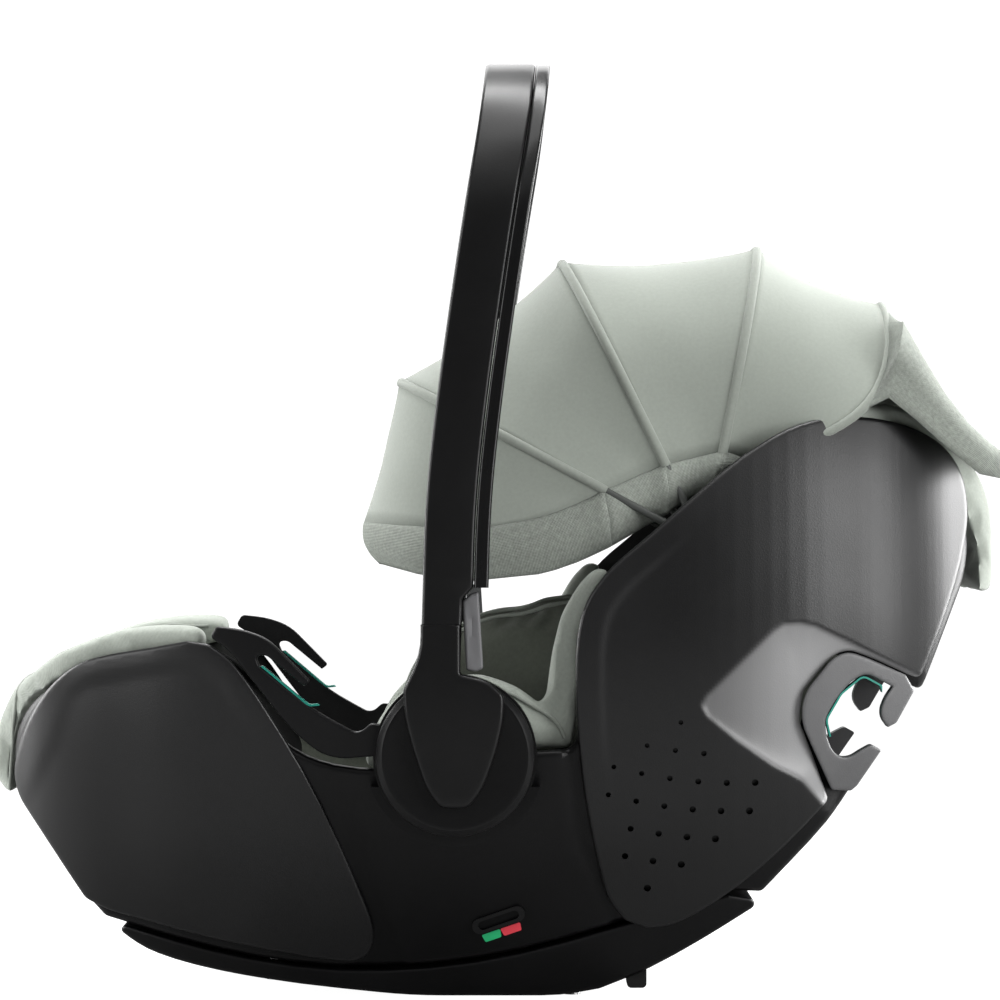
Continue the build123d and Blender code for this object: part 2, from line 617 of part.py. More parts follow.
foot_pad = drawn(
    [(-316, 116), (-338, 142), (-334, 176), (-318, 206), (-292, 229), (-258, 241), (-226, 247), (-190, 247),
     (-190, 229), (-208, 229), (-274, 219), (-317, 193), (-327, 146)],
    [6, 12, 14, 16, 14, 12, 10, 6,
     3, 10, 20, 14, 14],
)
leg_room = [(-300, -84), (-276, -118), (-150, -138), (-150, 138), (-276, 118), (-300, 84)]
leg_room = Face(rounded([(x * stretch_x, y, 90) for x, y in leg_room], [20, 40, 0, 0, 40, 20]))
foot_end = bulged(prism(foot_pad, cover_half_width), cover_thickness + 0.8) - blank
foot_end = foot_end - extrude(leg_room, amount=200 * stretch_z, dir=(0, 0, 1))
write(max(foot_end.solids(), key=lambda solid: solid.volume), "foot_end_cover")
head_pad = drawn(
    [(222, 377), (236, 392), (262, 390), (294, 370), (322, 342), (330, 300), (324, 262), (312, 262),
     (316, 293), (303, 345), (271, 371)],
    [3, 8, 12, 14, 14, 14, 6, 6, 14, 14, 14],
)
head_end = bulged(prism(head_pad, 180), cover_thickness + 0.8) - blank
write(max(head_end.solids(), key=lambda solid: solid.volume), "head_end_cover")

# ---------------------------------------------------------------- headrest
rest_low = 192.0
rest_high = 290.0


def rest_point(u, n):
    """A point of the headrest: a share of its height up the back, and its distance out of the back."""
    return back(rest_low + u * (rest_high - rest_low), n)


rest_face = outline([rest_point(0, 20.6), rest_point(1, 20.6), rest_point(1, 26.6), rest_point(0, 26.6)], 2)
wing_side = [(0.04, 20.6), (0.96, 20.6), (0.96, 78), (0.5, 92), (0.08, 60)]
rest_wings = outline([rest_point(u, n) for u, n in wing_side], [4, 12, 20, 30, 14])
rest = prism(rest_face, 112)
for y in (-112, 106):
    rest = rest + slab(rest_wings, y, y + 6)
write(rest, "headrest_shell")
core_side = [(0.08, 27.2), (0.92, 27.2), (0.92, 44), (0.08, 44)]
pad_core = outline([rest_point(u, n) for u, n in core_side], [3, 8, 8, 8])
inner_side = [(0.1, 27.2), (0.9, 27.2), (0.9, 75), (0.5, 88), (0.14, 58)]
pad_wing = outline([rest_point(u, n) for u, n in inner_side], [4, 12, 18, 28, 12])
pad = prism(pad_core, 105.4) + slab(pad_wing, -105.4, -86) + slab(pad_wing, 86, 105.4)
write(pad, "headrest_pad")
lever_side = [(1, 20.6), (1.12, 20.6), (1.16, 26), (1.06, 34), (1, 34)]
lever = outline([rest_point(u, n) for u, n in lever_side], [0.5, 2, 3, 3, 0.5])
write(prism(lever, 32), "headrest_lever")

# ---------------------------------------------------------------- harness
strap_low = 80.0  # along the back, where the straps meet the tongues
strap_face = 20.6  # out of the back, where the straps lie on the cushion
strap_line = [(188, strap_face), (130, strap_face + 0.8), (strap_low, strap_face + 4)]
strap_edge = [(u, n + webbing_thickness) for u, n in strap_line][::-1]
shoulder = outline([back(u, n) for u, n in strap_line + strap_edge], [0.3, 60, 0.3, 0.3, 60, 0.3])
both(slab(shoulder, -45 - webbing_width / 2, -45 + webbing_width / 2), "shoulder_strap")
pad_low = strap_face + 4.4
pad_top = strap_face + 14
pad_side = [(100, pad_low), (182, pad_low), (182, pad_top), (100, pad_top)]
pad_face = outline([back(u, n) for u, n in pad_side], [3, 3, 4, 4])
both(slab(pad_face, -45 - 29, -45 + 29), "shoulder_pad")
tongue_side = [(50.3, 28), (70, 26), (79.6, 24.6), (79.6, 28), (50.3, 32)]
tongue = outline([back(u, n) for u, n in tongue_side], 0.8)
pair(slab(tongue, -60, -8), "buckle_tongues")
housing_face = outline([back(u, n) for u, n in ((6, 27), (50, 27), (50, 40), (6, 40))], [3, 3, 5, 5])
button_seat = Pos(back(26, 0)[0], 0, back(26, 0)[1]) * Rot(0, -back_slope, 0)
window = button_seat * Pos(0, 0, 37.5) * Box(22, 26, 9)
write(prism(housing_face, 34) - window, "buckle_housing")
button = button_seat * Pos(0, 0, 38.6) * Box(22 - 2 * running_clearance, 26 - 2 * running_clearance, 3)
write(button, "buckle_button")
lap_height = crease[1] + 22
crotch = outline(
    [(crease[0] - 54, lap_height + 0.5), (crease[0] - 18, lap_height + 0.5), back(5.9, 29), back(5.9, 31),
     (crease[0] - 20, lap_height + 2.6), (crease[0] - 54, lap_height + 2.1)],
    [0.3, 20, 0.3, 0.3, 20, 0.3],
)
write(prism(crotch, webbing_width / 2), "crotch_strap")
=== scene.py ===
"""Infant car seat: the finished look of every piece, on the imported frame.

The frame is in metres: +X runs to the head end, +Y from the baby's left to the right, +Z up. Side
outlines are (x, z) points in millimetres; left pieces lie at -Y and are mirrored for the right.
"""

import logging
import math
from collections.abc import Callable, Sequence
from dataclasses import dataclass, field
from enum import Enum

import bmesh
import bpy
import numpy as np
from mathutils import Matrix, Vector
from mathutils.bvhtree import BVHTree


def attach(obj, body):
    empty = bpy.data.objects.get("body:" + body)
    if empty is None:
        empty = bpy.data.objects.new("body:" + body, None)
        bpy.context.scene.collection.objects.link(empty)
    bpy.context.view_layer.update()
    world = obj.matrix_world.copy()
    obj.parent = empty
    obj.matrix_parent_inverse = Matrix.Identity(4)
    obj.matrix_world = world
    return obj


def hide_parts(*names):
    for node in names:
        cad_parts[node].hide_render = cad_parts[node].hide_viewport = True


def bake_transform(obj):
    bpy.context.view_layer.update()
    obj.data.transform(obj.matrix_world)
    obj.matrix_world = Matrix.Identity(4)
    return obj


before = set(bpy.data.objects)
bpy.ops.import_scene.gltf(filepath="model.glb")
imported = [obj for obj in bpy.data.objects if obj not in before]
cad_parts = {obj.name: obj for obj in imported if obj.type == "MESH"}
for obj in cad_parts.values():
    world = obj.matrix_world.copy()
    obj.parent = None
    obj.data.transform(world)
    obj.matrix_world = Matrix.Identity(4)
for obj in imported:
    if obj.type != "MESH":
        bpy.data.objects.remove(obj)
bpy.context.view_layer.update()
LOG = logging.getLogger("car_seat")
MM = 0.001

Point = tuple[float, float]
Surface = Callable[[np.ndarray, np.ndarray, np.ndarray], np.ndarray]


class Side(Enum):
    """The two sides of the seat, by the sign of Y."""

    LEFT = -1
    RIGHT = 1

    @property
    def word(self) -> str:
        """The side's name in a piece's name."""
        return self.name.lower()


# ---------------------------------------------------------------- finishes
def _node(tree: bpy.types.NodeTree, kind: str, **inputs: object) -> bpy.types.Node:
    """Adds a node and sets its sockets and properties.

    Args:
        tree: The tree it joins.
        kind: The node's type without its ShaderNode prefix.
        inputs: Socket names with spaces as underscores, or properties, with their values.

    Returns:
        The node.
    """
    node = tree.nodes.new(kind if kind.startswith("Node") else f"ShaderNode{kind}")
    for key, value in inputs.items():
        name = key.replace("_", " ")
        if name in node.inputs:
            if isinstance(value, bpy.types.NodeSocket):
                tree.links.new(value, node.inputs[name])
            else:
                node.inputs[name].default_value = value
        else:
            setattr(node, key, value)
    return node


def _math(tree: bpy.types.NodeTree, operation: str, *values: object) -> bpy.types.NodeSocket:
    """Adds a Math node.

    Args:
        tree: The tree it joins.
        operation: Blender's name of the operation.
        values: Numbers or sockets, in socket order.

    Returns:
        The node's output.
    """
    node = tree.nodes.new("ShaderNodeMath")
    node.operation = operation
    for socket, value in zip(node.inputs, values):
        if isinstance(value, bpy.types.NodeSocket):
            tree.links.new(value, socket)
        else:
            socket.default_value = value
    return node.outputs[0]


def _group(name: str, inputs: dict[str, float], outputs: Sequence[str]) -> tuple:
    """Starts a shader node group with float sockets.

    Args:
        name: The group's name.
        inputs: Its input names and their defaults.
        outputs: Its output names.

    Returns:
        The group, its input node and its output node.
    """
    group = bpy.data.node_groups.new(name, "ShaderNodeTree")
    for key, value in inputs.items():
        socket = group.interface.new_socket(key, in_out="INPUT", socket_type="NodeSocketFloat")
        socket.default_value = value
    for key in outputs:
        group.interface.new_socket(key, in_out="OUTPUT", socket_type="NodeSocketFloat")
    return group, group.nodes.new("NodeGroupInput"), group.nodes.new("NodeGroupOutput")


def grain_group() -> bpy.types.NodeTree:
    """Moulded plastic's fine grain and slow mottling, from Object coordinates."""
    group, source, sink = _group("MouldedGrain", {"Scale": 900.0, "Wear": 0.3}, ("Height", "Mottle"))
    place = _node(group, "TexCoord").outputs["Object"]
    cells = _node(group, "TexVoronoi", Vector=place, Scale=source.outputs["Scale"], Randomness=1.0)
    fine = _node(group, "TexNoise", Vector=place, Scale=source.outputs["Scale"], Detail=2.0)
    slow = _node(group, "TexNoise", Vector=place, Scale=14.0, Detail=4.0, Roughness=0.6)
    height = _math(group, "MULTIPLY_ADD", cells.outputs["Distance"], 0.6, fine.outputs[0])
    mottle = _math(group, "MULTIPLY", slow.outputs[0], source.outputs["Wear"])
    group.links.new(height, sink.inputs["Height"])
    group.links.new(mottle, sink.inputs["Mottle"])
    return group


def weave_group(mapped: bool) -> bpy.types.NodeTree:
    """Two crossing sets of yarns with a slow change of shade.

    Args:
        mapped: Whether they follow the sheet's own UV map in metres, or Object coordinates.

    Returns:
        The group.
    """
    group, source, sink = _group(
        "MappedWeave" if mapped else "Weave", {"Yarns": 700.0, "Fuzz": 0.35}, ("Height", "Shade"))
    place = _node(group, "TexCoord").outputs["Object"]
    if mapped:
        along, up, _ = _node(group, "SeparateXYZ", Vector=_node(group, "TexCoord").outputs["UV"]).outputs
    else:
        x, y, z = _node(group, "SeparateXYZ", Vector=place).outputs
        along = _math(group, "ADD", _math(group, "MULTIPLY", y, 0.83), _math(group, "MULTIPLY", x, 1.35))
        up = _math(group, "MULTIPLY_ADD", x, 0.25, z)
    first = _math(group, "ADD", along, up)
    second = _math(group, "SUBTRACT", up, _math(group, "MULTIPLY", along, 0.9))
    yarns = source.outputs["Yarns"]
    ribs = _math(group, "SINE", _math(group, "MULTIPLY", _math(group, "MULTIPLY", first, yarns), 6.283))
    cross = _math(group, "SINE", _math(group, "MULTIPLY", _math(group, "MULTIPLY", second, yarns), 6.283))
    weave = _math(group, "MULTIPLY_ADD", _math(group, "MULTIPLY", ribs, cross), 0.5, 0.5)
    fuzz = _node(group, "TexNoise", Vector=place, Scale=1500.0, Detail=3.0)
    height = _math(group, "MULTIPLY_ADD", fuzz.outputs[0], source.outputs["Fuzz"], weave)
    slow = _node(group, "TexNoise", Vector=place, Scale=9.0, Detail=3.0)
    melange = _node(group, "TexNoise", Vector=place, Scale=420.0, Detail=2.0)
    shade = _math(group, "MULTIPLY_ADD", slow.outputs[0], 0.35,
                  _math(group, "MULTIPLY", melange.outputs[0], 0.4))
    shade = _math(group, "MULTIPLY_ADD", weave, 0.25, shade)
    group.links.new(height, sink.inputs["Height"])
    group.links.new(shade, sink.inputs["Shade"])
    return group


def _placed(tree: bpy.types.NodeTree, name: str, make: Callable[[], bpy.types.NodeTree],
            **values: float) -> bpy.types.Node:
    """Places a node group, made the first time it is asked for, with its own values."""
    node = tree.nodes.new("ShaderNodeGroup")
    node.node_tree = bpy.data.node_groups.get(name) or make()
    for key, value in values.items():
        node.inputs[key].default_value = value
    return node


def _ramp(tree: bpy.types.NodeTree, value: bpy.types.NodeSocket, low: tuple, high: tuple,
          start: float = 0.3, end: float = 0.7) -> bpy.types.NodeSocket:
    """A colour that goes from one to another as a value rises."""
    ramp = tree.nodes.new("ShaderNodeValToRGB")
    ramp.color_ramp.elements[0].position = start
    ramp.color_ramp.elements[1].position = end
    ramp.color_ramp.elements[0].color = (*low, 1)
    ramp.color_ramp.elements[1].color = (*high, 1)
    tree.links.new(value, ramp.inputs[0])
    return ramp.outputs[0]


@dataclass(frozen=True)
class Plastic:
    """Moulded plastic or rubber: grain, mottled roughness, a base colour and, where set, a painted
    highlight.
    """

    name: str
    color: tuple[float, float, float] = (0.004, 0.004, 0.004)
    roughness: float = 0.42
    grain: float = 0.12
    scale: float = 900.0
    specular: float = 0.5
    coat: float = 0.0
    # A paler colour mixed in where the mesh's own attribute is set: a painted highlight, standing in for
    # reflected light.
    painted_highlight: tuple[float, float, float] | None = None

    def material(self) -> bpy.types.Material:
        """The material, made once."""
        found = bpy.data.materials.get(self.name)
        if found:
            return found
        material = bpy.data.materials.new(self.name)
        material.use_nodes = True
        tree = material.node_tree
        shader = tree.nodes["Principled BSDF"]
        grain = _placed(tree, "MouldedGrain", grain_group, Scale=self.scale, Wear=1.0)
        low = tuple(c * 0.85 for c in self.color)
        high = tuple(c * 1.2 for c in self.color)
        color = _ramp(tree, grain.outputs["Mottle"], low, high)
        # Mixes in the painted highlight by the mesh's attribute.
        if self.painted_highlight:
            mix = _node(tree, "Mix", data_type="RGBA")
            tree.links.new(_node(tree, "Attribute", attribute_name="Satin").outputs["Fac"], mix.inputs[0])
            tree.links.new(color, mix.inputs[6])
            mix.inputs[7].default_value = (*self.painted_highlight, 1)
            color = mix.outputs[2]
        tree.links.new(color, shader.inputs["Base Color"])
        rough = _math(tree, "MULTIPLY_ADD", grain.outputs["Mottle"], 0.12, self.roughness - 0.06)
        tree.links.new(rough, shader.inputs["Roughness"])
        bump = _node(tree, "Bump", Strength=self.grain, Distance=0.0004, Height=grain.outputs["Height"])
        tree.links.new(bump.outputs[0], shader.inputs["Normal"])
        shader.inputs["Specular IOR Level"].default_value = self.specular
        shader.inputs["Coat Weight"].default_value = self.coat
        shader.inputs["Coat Roughness"].default_value = 0.15
        return material


@dataclass(frozen=True)
class Cloth:
    """Woven or knitted cloth: yarns, melange and sheen."""

    name: str
    color: tuple[float, float, float]
    yarns: float = 700.0
    relief: float = 0.35
    contrast: float = 0.16
    sheen: float = 0.35
    fuzz: float = 0.35
    mapped: bool = False

    def material(self) -> bpy.types.Material:
        """The material, made once."""
        found = bpy.data.materials.get(self.name)
        if found:
            return found
        material = bpy.data.materials.new(self.name)
        material.use_nodes = True
        tree = material.node_tree
        shader = tree.nodes["Principled BSDF"]
        name = "MappedWeave" if self.mapped else "Weave"
        weave = _placed(tree, name, lambda: weave_group(self.mapped), Yarns=self.yarns, Fuzz=self.fuzz)
        low = tuple(c * (1 - self.contrast) for c in self.color)
        high = tuple(min(1.0, c * (1 + self.contrast)) for c in self.color)
        tree.links.new(_ramp(tree, weave.outputs["Shade"], low, high), shader.inputs["Base Color"])
        bump = _node(tree, "Bump", Strength=self.relief, Distance=0.0006, Height=weave.outputs["Height"])
        tree.links.new(bump.outputs[0], shader.inputs["Normal"])
        shader.inputs["Roughness"].default_value = 0.92
        shader.inputs["Sheen Weight"].default_value = self.sheen
        shader.inputs["Sheen Roughness"].default_value = 0.5
        shader.inputs["Specular IOR Level"].default_value = 0.25
        return material


@dataclass(frozen=True)
class Metal:
    """Brushed or plated steel."""

    name: str
    color: tuple[float, float, float] = (0.6, 0.6, 0.6)
    roughness: float = 0.3

    def material(self) -> bpy.types.Material:
        """The material, made once."""
        found = bpy.data.materials.get(self.name)
        if found:
            return found
        material = bpy.data.materials.new(self.name)
        material.use_nodes = True
        tree = material.node_tree
        shader = tree.nodes["Principled BSDF"]
        grain = _placed(tree, "MouldedGrain", grain_group, Scale=1600.0, Wear=1.0)
        rough = _math(tree, "MULTIPLY_ADD", grain.outputs["Mottle"], 0.25, self.roughness - 0.1)
        tree.links.new(rough, shader.inputs["Roughness"])
        tree.links.new(_ramp(tree, grain.outputs["Mottle"], tuple(c * 0.85 for c in self.color),
                             self.color), shader.inputs["Base Color"])
        shader.inputs["Metallic"].default_value = 1.0
        return material


SAGE = (0.40, 0.435, 0.385)
SHELL_BLACK = Plastic("ShellBlack", (0.0034, 0.0034, 0.0037), 0.38, 0.10, specular=0.22)
# The covers' black, with a pale grey painted round the belt hook's scoop as a painted highlight.
COVER_BLACK = Plastic("CoverBlack", (0.0046, 0.0046, 0.0049), 0.37, 0.14, 1000.0, 0.42,
                      painted_highlight=(0.30, 0.30, 0.302))
HANDLE_BLACK = Plastic("HandleBlack", (0.0032, 0.0032, 0.0034), 0.34, 0.08, specular=0.3)
TRIM_BLACK = Plastic("TrimBlack", (0.0034, 0.0034, 0.0036), 0.26, 0.05, specular=0.3)
# The shoulder-belt hook's pale grey is a painted highlight on black plastic, standing in for reflected
# light.
HOOK_PAINTED_HIGHLIGHT = Plastic("HookPaintedHighlight", (0.10, 0.10, 0.102), 0.42, 0.14, 1000.0, 0.5)
HUB_BLACK = Plastic("HubBlack", (0.0036, 0.0036, 0.0038), 0.32, 0.08, specular=0.25)
RUBBER = Plastic("FootRubber", (0.008, 0.008, 0.008), 0.75, 0.35, 500.0, 0.2)
TRIGGER_GREY = Plastic("TriggerGrey", (0.14, 0.14, 0.145), 0.4, 0.1, specular=0.3)
TEAL = Plastic("LinerTeal", (0.0, 0.20, 0.15), 0.5, 0.1)
BOW_PLASTIC = Plastic("BowPlastic", (0.06, 0.065, 0.06), 0.45, 0.1)
HEADREST_BLACK = Plastic("HeadrestBlack", (0.008, 0.008, 0.008), 0.5, 0.2, specular=0.3)
BUCKLE_BLACK = Plastic("BuckleBlack", (0.006, 0.006, 0.006), 0.35, 0.1, specular=0.4)
BUCKLE_RED = Plastic("BuckleRed", (0.45, 0.012, 0.012), 0.35, 0.05)
MARK_GREEN = Plastic("MarkGreen", (0.027, 0.58, 0.22), 0.45, 0.04)
MARK_RED = Plastic("MarkRed", (0.95, 0.07, 0.10), 0.45, 0.04)
SLIDER_WHITE = Plastic("SliderWhite", (0.6, 0.6, 0.6), 0.3, 0.03)
STEEL = Metal("BarSteel")
HOOD_KNIT = Cloth("HoodKnit", tuple(c * 0.68 for c in SAGE), 800.0, 0.2, 0.08, 0.3, 0.5, True)
SEAM_KNIT = Cloth("SeamKnit", tuple(c * 0.62 for c in SAGE), 800.0, 0.2, 0.1, 0.3)
HOOD_TWILL = Cloth("HoodTwill", tuple(c * 0.74 for c in SAGE), 520.0, 0.9, 0.34, 0.2, 0.3, True)
HEM_RIB = Cloth("HemRib", tuple(c * 0.70 for c in SAGE), 360.0, 0.8, 0.2, 0.2, 0.3, True)
SEAT_KNIT = Cloth("SeatKnit", tuple(c * 0.90 for c in SAGE), 650.0, 0.4, 0.14, 0.3)
# The backrest's dark cloth is painted shade, standing in for the shadow that the head cover and wings cast
# on it.
BACK_KNIT_PAINTED_SHADE = Cloth("BackKnitPaintedShade", (0.11, 0.12, 0.098), 650.0, 0.4, 0.16, 0.3)
SEAT_DARK = Cloth("SeatDark", (0.10, 0.11, 0.09), 650.0, 0.45, 0.18, 0.3)
PIPING = Cloth("Piping", tuple(c * 0.74 for c in SAGE), 900.0, 0.4, 0.15, 0.2)
WEBBING = Cloth("Webbing", (0.012, 0.012, 0.013), 900.0, 0.8, 0.3, 0.2)


# ---------------------------------------------------------------- outlines and the bulged envelope
def rounded(corners: Sequence[Point], radii: Sequence[float] | float, closed: bool = True,
            arc_step: float = 12.0) -> list[Point]:
    """A line through corners with each one rounded, as points.

    Args:
        corners: The corners, in order.
        radii: A radius for each corner, or one for all.
        closed: Whether the last corner joins the first.
        arc_step: The most degrees between two points of an arc.

    Returns:
        The points, with no repeat at the end.
    """
    count = len(corners)
    if not isinstance(radii, (list, tuple)):
        radii = [radii] * count
    points: list[Point] = []
    for i, (corner, radius) in enumerate(zip(corners, radii)):
        here = Vector(corner)
        before = Vector(corners[i - 1]) - here
        after = Vector(corners[(i + 1) % count]) - here
        opening = before.angle(after) if before.length and after.length else math.pi
        end = not closed and i in (0, count - 1)
        if end or radius <= 0 or math.pi - opening < 1e-3:
            points.append((here.x, here.y))
            continue
        cut = min(radius / math.tan(opening / 2), 0.49 * min(before.length, after.length))
        used = cut * math.tan(opening / 2)
        inward = (before.normalized() + after.normalized()).normalized()
        centre = here + inward * (used / math.sin(opening / 2))
        start = here + before.normalized() * cut - centre
        stop = here + after.normalized() * cut - centre
        turn = math.atan2(start.x * stop.y - start.y * stop.x, start.dot(stop))
        steps = max(2, math.ceil(abs(math.degrees(turn)) / arc_step))
        for k in range(steps + 1):
            angle = turn * k / steps
            points.append((
                centre.x + start.x * math.cos(angle) - start.y * math.sin(angle),
                centre.y + start.x * math.sin(angle) + start.y * math.cos(angle),
            ))
    return points


def flowing(*corners: tuple[float, ...]) -> list[Point]:
    """A closed outline that flows through the middles of its sides.

    Args:
        corners: (x, z) where the outline flows, or (x, z, radius) at a tighter corner.

    Returns:
        The outline's points.
    """
    radii = [corner[2] if len(corner) > 2 else 900.0 for corner in corners]
    return rounded([corner[:2] for corner in corners], radii, arc_step=7.0)


def distance(x: np.ndarray, z: np.ndarray, line: Sequence[Point], closed: bool = True) -> np.ndarray:
    """The distance of points from a line, positive inside a closed one.

    Args:
        x: The points' x.
        z: The points' z.
        line: The line's points.
        closed: Whether the line closes on itself.

    Returns:
        One distance for each point.
    """
    corners = np.array(line, float)
    ends = np.roll(corners, -1, axis=0)
    if not closed:
        corners, ends = corners[:-1], ends[:-1]
    best = np.full(x.shape, 1e9)
    inside = np.zeros(x.shape, bool)
    for (ax, az), (bx, bz) in zip(corners, ends):
        dx, dz = bx - ax, bz - az
        length = dx * dx + dz * dz
        if length < 1e-12:
            continue
        t = np.clip(((x - ax) * dx + (z - az) * dz) / length, 0, 1)
        best = np.minimum(best, np.hypot(x - ax - t * dx, z - az - t * dz))
        if closed:
            crosses = (az > z) != (bz > z)
            with np.errstate(divide="ignore", invalid="ignore"):
                inside ^= crosses & (x < (z - az) * dx / (dz if dz else 1e-12) + ax)
    return np.where(inside, best, -best) if closed else best


def smooth(value: np.ndarray, start: float, end: float) -> np.ndarray:
    """Rises smoothly from 0 at start to 1 at end."""
    t = np.clip((value - start) / (end - start), 0, 1)
    return t * t * (3 - 2 * t)


@dataclass(frozen=True)
class Envelope:
    """The bulged form that the shell and its covers follow: an arc-edged plan turned about a far axis."""

    half_width: float = 197.0
    offset: float = 200.0
    height: float = 250.0

    def plan(self, inset: float) -> np.ndarray:
        """The plan's half outline at an inset, as (x, half width) rows."""
        widest = self.half_width - inset
        corners = [
            (-343 + inset, -200), (-343 + inset, widest - 120), (-296 + inset * 0.5, widest - 48),
            (-190, widest), (165, widest), (272 - inset * 0.5, widest - 42),
            (330 - inset, widest - 112), (330 - inset, -200),
        ]
        return np.array(rounded(corners, [0, 40, 130, 220, 260, 150, 40, 0], arc_step=3))

    def half(self, x: np.ndarray, z: np.ndarray, inset: np.ndarray | float = 0.0) -> np.ndarray:
        """How far the envelope reaches from the centre plane.

        Args:
            x: Where along the seat.
            z: The height.
            inset: How far inside the envelope, for all points or one each.

        Returns:
            The half width at each point.
        """
        plan = self.plan(0.0)
        keep = np.concatenate([[True], np.diff(plan[:, 0]) > 1e-6])
        width = np.interp(x, plan[keep, 0], plan[keep, 1])
        radius = width + self.offset - inset
        return np.sqrt(np.maximum(radius**2 - (z - self.height) ** 2, 1.0)) - self.offset


ENVELOPE = Envelope()


# ---------------------------------------------------------------- making meshes
def finish_mesh(bm: bmesh.types.BMesh, name: str, sharp: float = 38.0) -> bpy.types.Object:
    """Turns a bmesh in millimetres into an object in metres, smooth but for its sharp edges.

    Args:
        bm: The mesh, which is freed.
        name: The piece's name.
        sharp: The angle in degrees from which an edge is sharp.

    Returns:
        The object.
    """
    bmesh.ops.transform(bm, matrix=Matrix.Scale(MM, 4), verts=bm.verts)
    bm.normal_update()
    limit = math.radians(sharp)
    for face in bm.faces:
        face.smooth = True
    for edge in bm.edges:
        if len(edge.link_faces) == 2:
            edge.smooth = edge.calc_face_angle(0.0) < limit
    mesh = bpy.data.meshes.new(name)
    bm.to_mesh(mesh)
    bm.free()
    thing = bpy.data.objects.new(name, mesh)
    bpy.context.scene.collection.objects.link(thing)
    return thing


def dress(thing: bpy.types.Object, *finishes: Plastic | Cloth | Metal) -> bpy.types.Object:
    """Gives a piece its finishes, one for each material index."""
    thing.data.materials.clear()
    for finish in finishes:
        thing.data.materials.append(finish.material())
    return thing


def place(thing: bpy.types.Object, body: str, slot: str, nodes: Sequence[str] = ()) -> bpy.types.Object:
    """Puts a piece on its body and hides the CAD nodes it stands for."""
    if nodes:
        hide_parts(*nodes)
    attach(thing, body)
    return thing


def mirrored(bm: bmesh.types.BMesh) -> bmesh.types.BMesh:
    """The right-hand twin of a left-hand mesh."""
    twin = bm.copy()
    bmesh.ops.scale(twin, vec=(1, -1, 1), verts=twin.verts)
    bmesh.ops.reverse_faces(twin, faces=twin.faces)
    return twin


def add_mesh(target: bmesh.types.BMesh, extra: bmesh.types.BMesh) -> None:
    """Adds a copy of one mesh to another and frees it."""
    mesh = bpy.data.meshes.new("part")
    extra.to_mesh(mesh)
    extra.free()
    target.from_mesh(mesh)
    bpy.data.meshes.remove(mesh)


def sheet_of(line: Sequence[Point], step: float, rings: Sequence[float]) -> bmesh.types.BMesh:
    """A flat side-view sheet with bands along its edge and a grid across it.

    Args:
        line: The outline's points.
        step: The grid's pitch.
        rings: The widths of the bands along the edge, from the edge in.

    Returns:
        The sheet on the plane y = 0, facing -Y.
    """
    bm = bmesh.new()
    face = bm.faces.new([bm.verts.new((x, 0, z)) for x, z in line])
    bm.normal_update()
    if face.normal.y > 0:
        bmesh.ops.reverse_faces(bm, faces=[face])
    for width in rings:
        inner = max(bm.faces, key=lambda f: f.calc_area())
        bmesh.ops.inset_region(bm, faces=[inner], thickness=width, use_boundary=True, use_even_offset=True)
    xs = [x for x, _ in line]
    zs = [z for _, z in line]
    for low, high, axis in ((min(xs), max(xs), 0), (min(zs), max(zs), 2)):
        normal = (1, 0, 0) if axis == 0 else (0, 0, 1)
        for at in np.arange(math.floor(low / step) * step + step, high, step):
            geom = bm.verts[:] + bm.edges[:] + bm.faces[:]
            spot = (at, 0, 0) if axis == 0 else (0, 0, at)
            bmesh.ops.bisect_plane(bm, geom=geom, plane_co=spot, plane_no=normal, dist=0.02)
    return bm


def drape(bm: bmesh.types.BMesh, line: Sequence[Point], surface: Surface) -> None:
    """Moves a sheet's points out to a surface.

    Args:
        bm: The sheet.
        line: Its outline.
        surface: Gives y from x, z and the distance to the outline.
    """
    verts = bm.verts[:]
    x = np.array([v.co.x for v in verts])
    z = np.array([v.co.z for v in verts])
    inside = np.maximum(distance(x, z, line), 0.0)
    for vert, y in zip(verts, surface(x, z, inside)):
        vert.co.y = y


def roll(inside: np.ndarray, radius: float) -> np.ndarray:
    """How deep a rounded edge lies at a distance from the outline."""
    reach = np.clip(radius - inside, 0, radius)
    return radius - np.sqrt(radius**2 - reach**2)


def ring_widths(radius: float) -> list[float]:
    """The bands that follow an edge of a given radius."""
    return [radius * share for share in (0.07, 0.16, 0.27, 0.4)]


def rim_edges(bm: bmesh.types.BMesh) -> list[bmesh.types.BMEdge]:
    """The open edges of a mesh."""
    return [edge for edge in bm.edges if len(edge.link_faces) == 1]


def panel(line: Sequence[Point], inset: float, relief: Surface | None = None, edge: float = 2.0,
          step: float = 4.0) -> bmesh.types.BMesh:
    """The outer skin of a left-hand panel that follows the envelope, with a rounded edge.

    Args:
        line: The side outline.
        inset: How deep it lies in the envelope.
        relief: Extra depth from x, z and the distance to the outline.
        edge: The edge's radius.
        step: The grid's pitch.

    Returns:
        The skin, open at its edge.
    """
    bm = sheet_of(line, step, ring_widths(edge))

    def surface(x: np.ndarray, z: np.ndarray, inside: np.ndarray) -> np.ndarray:
        """The panel's y."""
        deep = inset + roll(inside, edge)
        if relief is not None:
            deep = deep + relief(x, z, inside)
        return -ENVELOPE.half(x, z, deep)

    drape(bm, line, surface)
    return bm


